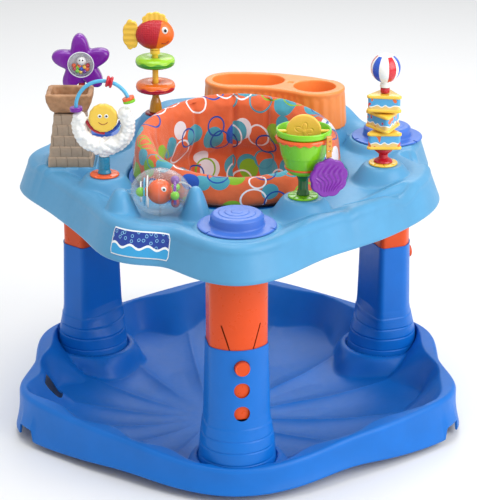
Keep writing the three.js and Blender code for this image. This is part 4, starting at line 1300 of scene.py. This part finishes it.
def build_hopper(place):
    """A rocky square bowl, with its rim dipped between its corners."""
    sides = [(26.5, 23.5, 5, 551.4), (33, 29, 6, 560), (39, 33, 7, 574), (40, 34, 7, 586), (38, 32, 7, 588),
             (33, 27, 6, 588), (31, 25, 6, 586), (29, 23, 6, 572), (22, 19, 5, 556.5)]
    rings = np.array([rounded_square(*side) for side in soften(sides, 1.5)])
    from_corner = np.abs(np.abs(np.degrees(np.arctan2(rings[..., 1] / 34, rings[..., 0] / 40))) % 90 - 45)
    rings[..., 2] -= 5 * smooth(from_corner, 18, 26) * smooth(rings[..., 2], 576, 586)
    paint = Paint("castle_rock")
    crag = paint.bump(paint.noise(11, 4), 2.2)
    rock = paint.mix(paint.ramp(paint.noise(16, 4), 0.3, 0.7), 0x8E6644, 0xBC8E68)
    material = paint.plastic(rock, rough=0.6, grain=0.15, mottle=0.05, relief=crag)
    hopper = make("castle_rocks", skin(rings), material, "castle_hopper", place)
    finer = hopper.modifiers.new("finer", "SUBSURF")
    finer.levels = finer.render_levels = 1
    lumps = hopper.modifiers.new("lumps", "DISPLACE")
    lumps.texture = bpy.data.textures.new("crag", "CLOUDS")
    lumps.texture.noise_scale = 0.012
    lumps.strength = 0.0022
    apply_modifiers(hopper)
    hopper.data.shade_smooth()


def build_cloud_toy():
    """A puffy crescent on a post, with a bead hoop over it and a sun that spins in it."""
    place = place_of("cloud_post")
    toy_base("cloud_base", "orange")
    low = TOY_TOP + 4.4
    post = turned([(0, low), (11.8, low), (11.6, low + 2), (9.4, low + 6), (9.4, 503), (0, 503)], 1)
    paint = Paint("cloud_post_dots")
    x, y, z = paint.offset(place + (0, 0, 488))
    around = paint.math("MULTIPLY", paint.math("ARCTAN2", y, x), 9.4)
    flat = paint.add("CombineXYZ", {0: around, 1: z}).outputs[0]
    dots = paint.cells(flat, 0.2, 0.3, "2D")["Distance"]
    relief = paint.bump(paint.ramp(dots, 0.2, 0.3, 1, 0), 0.7)
    teal = paint.plastic(0x2385AC, rough=0.28, coat=0.2, relief=relief)
    make("cloud_stem", post, teal, "cloud_post", place)
    build_cloud(place + (0, 0, 558))
    build_hoop(place + (0, 0, 590))
    build_sun(place + (0, 0, 571))


def build_cloud(heart):
    """A crescent of overlapping puffs, thicker below, run into one skin, and the wires inside its bend."""
    random.seed(3)
    puffs = []
    for degrees in np.linspace(160, 392, 28):
        way = math.radians(degrees)
        along = np.array((math.cos(way), 0, math.sin(way)))
        sag = max(0, -math.sin(way)) ** 2
        core = along * (41.5 - 4.5 * sag)
        puffs.append(ball(10.4 + 3.2 * sag, core, 20))
        for step in range(7):
            turn = step * 2 * math.pi / 7 + random.uniform(-0.5, 0.5)
            outward = along * math.cos(turn) + np.array((0, math.sin(turn), 0))
            puffs.append(ball(random.uniform(4, 5.6), core + outward * (8.4 + 3.2 * sag), 12))
    neck = peg(8.5, -54.7, -40, 0.6, 32)
    cloud = make("cloud_puffs", together(*puffs, neck), gloss["white"], "cloud_body", heart)
    melt(cloud, 1.3, 4)
    axle = moved(rod(2.2, 38, 0.4, 24), (0, 0, 13))
    detail("sun_axle", axle, gloss["white"], "cloud_body", heart)
    paint = Paint("sun_backing")
    x, _, _ = paint.offset(heart)
    halves = paint.mix(paint.math("GREATER_THAN", x, 2.0), 0xB81430, 0x2050B8)
    back = tube(arc(29, 195, 345, 48) + (0, 1.5, 15), 2.6)
    detail("sun_backing", back, paint.plastic(halves, rough=0.25, coat=0.2), "cloud_body", heart)


def on_hoop(profile, degrees):
    """A turned bead threaded on the hoop at this angle."""
    points, faces = along_x(turned(profile, 0.9, True, 48))
    angle = math.radians(degrees)
    out = np.array((math.cos(angle), 0, math.sin(angle)))
    ahead = np.array((-math.sin(angle), 0, math.cos(angle)))
    x, y, z = points.T[..., None]
    return out * HOOP_RADIUS + ahead * x + (0, 1, 0) * y - out * z, faces


def build_hoop(heart):
    """The wire, the hourglass bead that runs on it, and the washers at its ends."""
    wire = tube(arc(HOOP_RADIUS, 14, 186, 72), 3.2, steps=20)
    make("cloud_wire", wire, gloss["sky"], "cloud_hoop", heart)
    hourglass = [(4.2, -5.6), (8.2, -5.7), (9.8, -4.3), (9.8, -2.3), (7, 0), (9.8, 2.3), (9.8, 4.3),
                 (8.2, 5.7), (4.2, 5.6)]
    make("hoop_bead", on_hoop(hourglass, 75), gloss["red"], "hoop_bead_red", heart)
    ring = [(3.5, -2.4), (10.4, -2.4), (10.4, 2.4), (3.5, 2.4)]
    make("hoop_washer_orange", on_hoop(ring, 19.2), gloss["orange"], "hoop_ring_orange", heart)
    detail("hoop_washer_lime", on_hoop(ring, 13.2), gloss["lime"], "hoop_ring_orange", heart)
    wide = [(3.5, -3.4), (10.6, -3.4), (10.6, 3.4), (3.5, 3.4)]
    make("hoop_washer_purple", on_hoop(wide, 184.4), gloss["purple"], "hoop_ring_purple", heart)


def build_sun(heart):
    sun = standing(lambda a: 24.3 + 0.3 * np.cos(np.radians(14 * a)), 12, 4, steps=200)
    paint = Paint("sun_skin")
    rough_skin = paint.bump(paint.noise(3, 4), 0.3)
    yellow = paint.plastic(0xF4CB4A, rough=0.35, coat=0.15, relief=rough_skin)
    make("sun_disc", sun, yellow, "cloud_sun", heart)
    for side in (-1, 1):
        eye(f"sun_eye_{side > 0:d}", "cloud_sun", heart + (side * 5.5, -5.8, 4.5), 3.6, (0, -1, 0), 0.55)
    smile("sun_smile", "cloud_sun", heart + (0, -6.2, -6), 15, 4)


def build_roller():
    """A clear ribbed barrel that turns on its axle, with a fish, loops and a ring of beads inside."""
    place = middle("roller_axle") - axis

    def ribs(angles, radius, z):
        raised = np.exp(-(np.sin(angles * 3) / 0.11) ** 2) * 0.8 * (radius > 12)
        return radius + raised, z

    meridian = np.radians(np.linspace(-84, 84, 40))
    outside = [(39.4 * math.cos(a), 48.6 * math.sin(a)) for a in meridian]
    inside = [(38 * math.cos(a), 47.2 * math.sin(a)) for a in meridian[::-1]]
    shell = turned(outside + inside, 0.3, True, 144, ribs)
    make("roller_dome", along_x(shell), clear, "roller_shell", place)
    band = turned([(39.6, -1.3), (40.4, -1), (40.4, 1), (39.6, 1.3), (38.2, 1.3), (38.2, -1.3)],
                  0.3, True, 96)
    detail("roller_seam", along_x(band), clear, "roller_shell", place)
    make("roller_rod", rod(3.8, 61.4, 0.8), clear, "roller_axle", place)
    body = ball(1, steps=40, scale=(21, 17, 21))
    make("roller_fish_body", body, gloss["orange"], "roller_fish", place)
    tail = standing(lambda a: 8.5 + 0.8 * np.cos(np.radians(5 * a)), 5, 1.5, steps=80, inner=8)
    detail("roller_fish_tail", moved(tail, (-19, 0, 0)), gloss["orange"], "roller_fish", place)
    for side, name in ((-1, "front"), (1, "rear")):
        eye("roller_eye_" + name, "roller_fish", place + (6, side * 13.6, 8), 5.6, (0.2, side, 0.2))
    wheel = turned([(17, -2.4), (22, -2.4), (22, 2.4), (17, 2.4)], 1, True, 64)
    make("roller_wheel", along_x(wheel), gloss["purple"], "roller_beads", place + (25, 0, 0))
    for k, (x, radius, colour) in enumerate(((-25, 22, "sky"), (-31, 16, "white"), (-20, 26, "white"))):
        loop = moved(hoop(radius, 1.3, 64, 10), (x, 0, 0), 90)
        detail(f"roller_loop_{k}", loop, gloss[colour], "roller_beads", place)
    detail("roller_ball", ball(8, (-31, -13, 4), 24), gloss["lime"], "roller_beads", place)
    for k, colour in enumerate(("lime", "purple", "lime", "red")):
        at = place + (25, 20 * math.cos(k * math.pi / 2), 20 * math.sin(k * math.pi / 2))
        detail(f"roller_bead_{k}", ball(7.5, at, 24), gloss[colour], "roller_beads")


def build_bucket_toy():
    """A bucket on a stem, with a disc that spins across its mouth and a shell that hangs on a strap."""
    place = place_of("bucket_base")
    toy_base("bucket_base", "lime", 8)
    low = TOY_TOP + 4.4

    def facets(angles, radius, z):
        return radius * (1 + 0.05 * np.cos(angles * 6)), z

    post = turned([(0, low), (10.5, low), (10, low + 2), (7.8, 484), (7.8, 499), (12.6, 510.8), (0, 511)],
                  1.4, wave=facets)
    make("bucket_stem", post, gloss["green"], "bucket_post", place)
    outside = [(0, 511.4), (22, 511.4), (27.5, 516), (35, 541), (36, 542), (41, 566), (40.8, 577),
               (44.8, 578), (45.4, 581), (45.4, 586)]
    inside = [(44, 588), (42, 587), (38.6, 576), (38.4, 567), (33.4, 543), (25.5, 519), (20, 515.2),
              (0, 515.2)]
    bucket = make("bucket_pail", turned(outside + inside, 1.6, steps=112), gloss["lime"], "bucket", place)
    pin = middle("sand_dollar") - axis
    carve(bucket, moved(rod(3.3, 60), (0, 0, pin[2])), at=place)
    crisp(bucket, 50)

    def scallops(angles, radius, z):
        return radius, z - 1.5 * np.cos(angles * 18) * (z < 570.5)

    band = turned([(41.2, 568.2), (45, 568.6), (46.3, 572), (45, 575.6), (41.2, 576.3)], 1, True, 144,
                  scallops)
    make("bucket_trim", band, gloss["orange"], "bucket_band", place)
    dots = [ball(1.3, polar(46, degrees, 572.4), 10) for degrees in range(0, 360, 20)]
    detail("bucket_trim_dots", together(*dots), gloss["orange"], "bucket_band", place)
    stripe = turned([(28.4, 519.6), (30.4, 520.2), (31, 523), (29.2, 523.4)], 0.5, True, 96)
    detail("bucket_stripe", stripe, gloss["orange"], "bucket", place)
    build_sand_dollar(pin)
    build_shell(place + polar(52, 320, 582), 20)


def build_sand_dollar(pin):
    """A disc with five petals pressed into it, on a level axle."""

    def petals(x, z):
        reach = np.hypot(x, z)
        way = np.arctan2(z, x)
        leaf = np.exp(-((reach - 11 * np.abs(np.cos(2.5 * way - 0.4)) - 4) / 1.2) ** 2)
        return -0.9 * leaf + 0.7 * np.exp(-(reach / 3) ** 2)

    dollar = standing(lambda a: np.full_like(a, 28.6), 6.6, 2.6, petals, steps=180, inner=40)
    paint = Paint("sand_dollar_skin")
    gritty = paint.bump(paint.noise(2.2, 3), 0.18)
    make("dollar_disc", dollar, paint.plastic(0xF3BC4C, rough=0.36, relief=gritty), "sand_dollar", pin)
    detail("dollar_axle", rod(2.9, 44.3, 0.6), gloss["yellow"], "sand_dollar", pin)


def build_shell(hang, turn):
    """A scallop shell with wavy ridges, on a strap with three holes."""
    strip = [rounded_square(4.8, 1.4, 1.2, z) for z in np.linspace(-33.8, 2.3, 12)]
    strap = make("amber_strap", skin(strip), amber, "shell_strap", hang, turn)
    hole = along_y(peg(1.6, -4, 4, steps=20))
    carve(strap, *[moved(hole, (0, 0, z)) for z in (-7, -15, -23)], at=hang, turn=turn)

    def ridges(x, z):
        way = np.arctan2(x, z + 42)
        wavy = np.sin(17 * way + 1.5 * np.sin(z / 5)) ** 2
        return 1.3 * (wavy - 0.5) * (1 - smooth(np.hypot(x, z), 21, 26))

    shell = standing(lambda a: 30.6 + 2.4 * np.abs(np.cos(np.radians(4.5 * (a - 90)))), 8.4, 2.6, ridges,
                     steps=240, inner=60)
    make("shell_relief", moved(shell, (0, 0, -68)), gloss["purple"], "scallop_shell", hang, turn)


def picture(place, low):
    """Generic sea pictures for a prism's three sides."""
    paint = Paint(f"picture_{low:.0f}")
    x, y, z = paint.offset(place + (0, 0, low + 15))
    around = paint.math("ARCTAN2", y, x)
    wave = paint.math("SINE", paint.math("MULTIPLY", around, 9.0))
    sand_line = paint.math("ADD", z, paint.math("MULTIPLY", wave, 1.5))
    colour = paint.mix(paint.math("GREATER_THAN", sand_line, -3.5), 0xEBC87A, 0x4FA8DC)
    colour = paint.mix(paint.near(sand_line, -3.5, 0.9), colour, 0xF4F4EE)
    blots = paint.math("LESS_THAN", paint.noise(13, 0), 0.36)
    colour = paint.mix(blots, colour, 0xE86A2C)
    spots = paint.math("LESS_THAN", paint.cells(paint.place, 90.0, 0.8)["Distance"], 0.2)
    colour = paint.mix(spots, colour, 0xD8344A)
    return paint.plastic(colour, rough=0.3, grain=0.01, mottle=0.03, coat=0.2)


def triangle(side, corner, z, steps=14):
    """A three-sided outline with round corners."""
    ring = [polar(side, way) + polar(corner, way + turn)
            for way in (0, 120, 240) for turn in np.linspace(-60, 60, steps)]
    return np.array(ring) + (0, 0, z)


def build_block_spinner():
    """Three picture prisms and a beach ball that turn on one stem."""
    place = place_of("spinner_base")
    toy_base("spinner_base", "yellow", 8)
    low = TOY_TOP + 4.4
    post = turned([(0, low), (16.6, low), (15, low + 3), (8, 482), (8, 488), (16, 495), (16.6, 499.3),
                   (4.4, 499.4), (4.4, 597), (7.8, 597.2), (8, 605.8), (4.4, 606), (4.4, 624), (0, 624)], 1)
    make("spinner_stem", post, gloss["red"], "spinner_post", place)
    for name, bottom, turn in (("lower", 500, 90), ("middle", 533, 275), ("upper", 566, 82)):
        node = "prism_" + name
        for part, base in (("foot", bottom), ("lid", bottom + 24)):
            levels = [(25, 5.2, 0.2), (27, 5.9, 1), (27, 6, 2.5), (27, 5.9, 5), (25, 5.2, 5.9)]
            cap = skin([triangle(side, corner, base + z) for side, corner, z in levels])
            make(f"{node}_{part}", cap, gloss["yellow"], node, place, turn, replaces=part == "foot")
        sides = skin([triangle(25.8, 5, bottom + z) for z in (5.5, 24.5)])
        box = detail(node + "_pictures", sides, picture(place, bottom), node, place, turn)
        crisp(box)
    make("beach_ball_skin", ball(25.3, steps=64), beach_paint(place + (0, 0, 640)), "beach_ball",
         place + (0, 0, 640))
    neck = turned([(5, 606.8), (8.8, 606.8), (8.8, 612), (7, 614), (7, 618), (5, 618)], 0.8, True)
    detail("beach_ball_neck", neck, gloss["white"], "beach_ball", place)


def beach_paint(heart):
    """White, red and blue gores under white poles."""
    paint = Paint("beach_gores")
    x, y, z = paint.offset(heart)
    way = paint.math("ADD", paint.math("ARCTAN2", y, x), 4.2)
    share = paint.math("FRACT", paint.math("DIVIDE", way, 2 * math.pi / 3))
    gores = paint.stripes(share, ((0, 0xF2F2EE), (0.33, 0xD02230), (0.6, 0xF2F2EE), (0.72, 0x2358C8)))
    pole = paint.math("GREATER_THAN", paint.math("ABSOLUTE", z), 21.5)
    return paint.plastic(paint.mix(pole, gores, 0xF2F2EE), rough=0.25, coat=0.3)


# ---- studio ----

def build_studio():
    """A pale floor, an even grey-white sky and three soft lights that aim at the toy's middle."""
    scene = bpy.context.scene
    scene.view_settings.view_transform = "Standard"
    floor = bpy.data.meshes.new("floor")
    floor.from_pydata([(-6, -6, 0), (6, -6, 0), (6, 6, 0), (-6, 6, 0)], [], [(0, 1, 2, 3)])
    ground = bpy.data.objects.new("floor", floor)
    bpy.context.collection.objects.link(ground)
    pale = bpy.data.materials.new("pale_floor")
    pale.use_nodes = True
    matt = pale.node_tree.nodes["Principled BSDF"]
    matt.inputs["Base Color"].default_value = (0.86, 0.87, 0.88, 1)
    matt.inputs["Roughness"].default_value = 0.7
    floor.materials.append(pale)
    world = bpy.data.worlds.new("studio")
    world.use_nodes = True
    sky = world.node_tree.nodes["Background"]
    sky.inputs["Color"].default_value = (1, 1, 1, 1)
    sky.inputs["Strength"].default_value = 0.7
    scene.world = world
    for name, place, size, power in (("key", (2.2, -1.5, 1.8), 2.4, 64), ("top", (-0.2, -0.2, 2.8), 1.6, 26),
                                     ("back", (0.3, 2.2, 2.2), 1.6, 20)):
        light = bpy.data.lights.new(name, "AREA")
        light.size = size
        light.energy = power
        lamp = bpy.data.objects.new(name, light)
        lamp.location = place
        aim = Vector((0, 0, 0.35)) - lamp.location
        lamp.rotation_euler = aim.to_track_quat("-Z", "Y").to_euler()
        bpy.context.collection.objects.link(lamp)


def build_camera():
    """A camera straight in front, some 21 degrees above level and three and a half metres away."""
    target = (axis + (2.3, 0, 295.2)) / 1000
    tilt = math.radians(20.83)
    distance = 3.5006
    lens = bpy.data.cameras.new("camera")
    lens.sensor_width = 36
    lens.lens = 142.3
    camera = bpy.data.objects.new("camera", lens)
    camera.location = target + distance * np.array((0, -math.cos(tilt), math.sin(tilt)))
    camera.rotation_euler = (math.pi / 2 - tilt, 0, 0)
    bpy.context.collection.objects.link(camera)
    bpy.context.scene.camera = camera


build_studio()
build_camera()
build_saucer()
build_legs()
build_tray()
build_snack_tray()
build_seat_ring()
build_seat()
build_fish_toy()
build_star_toy()
build_castle()
build_cloud_toy()
build_roller()
build_bucket_toy()
build_block_spinner()
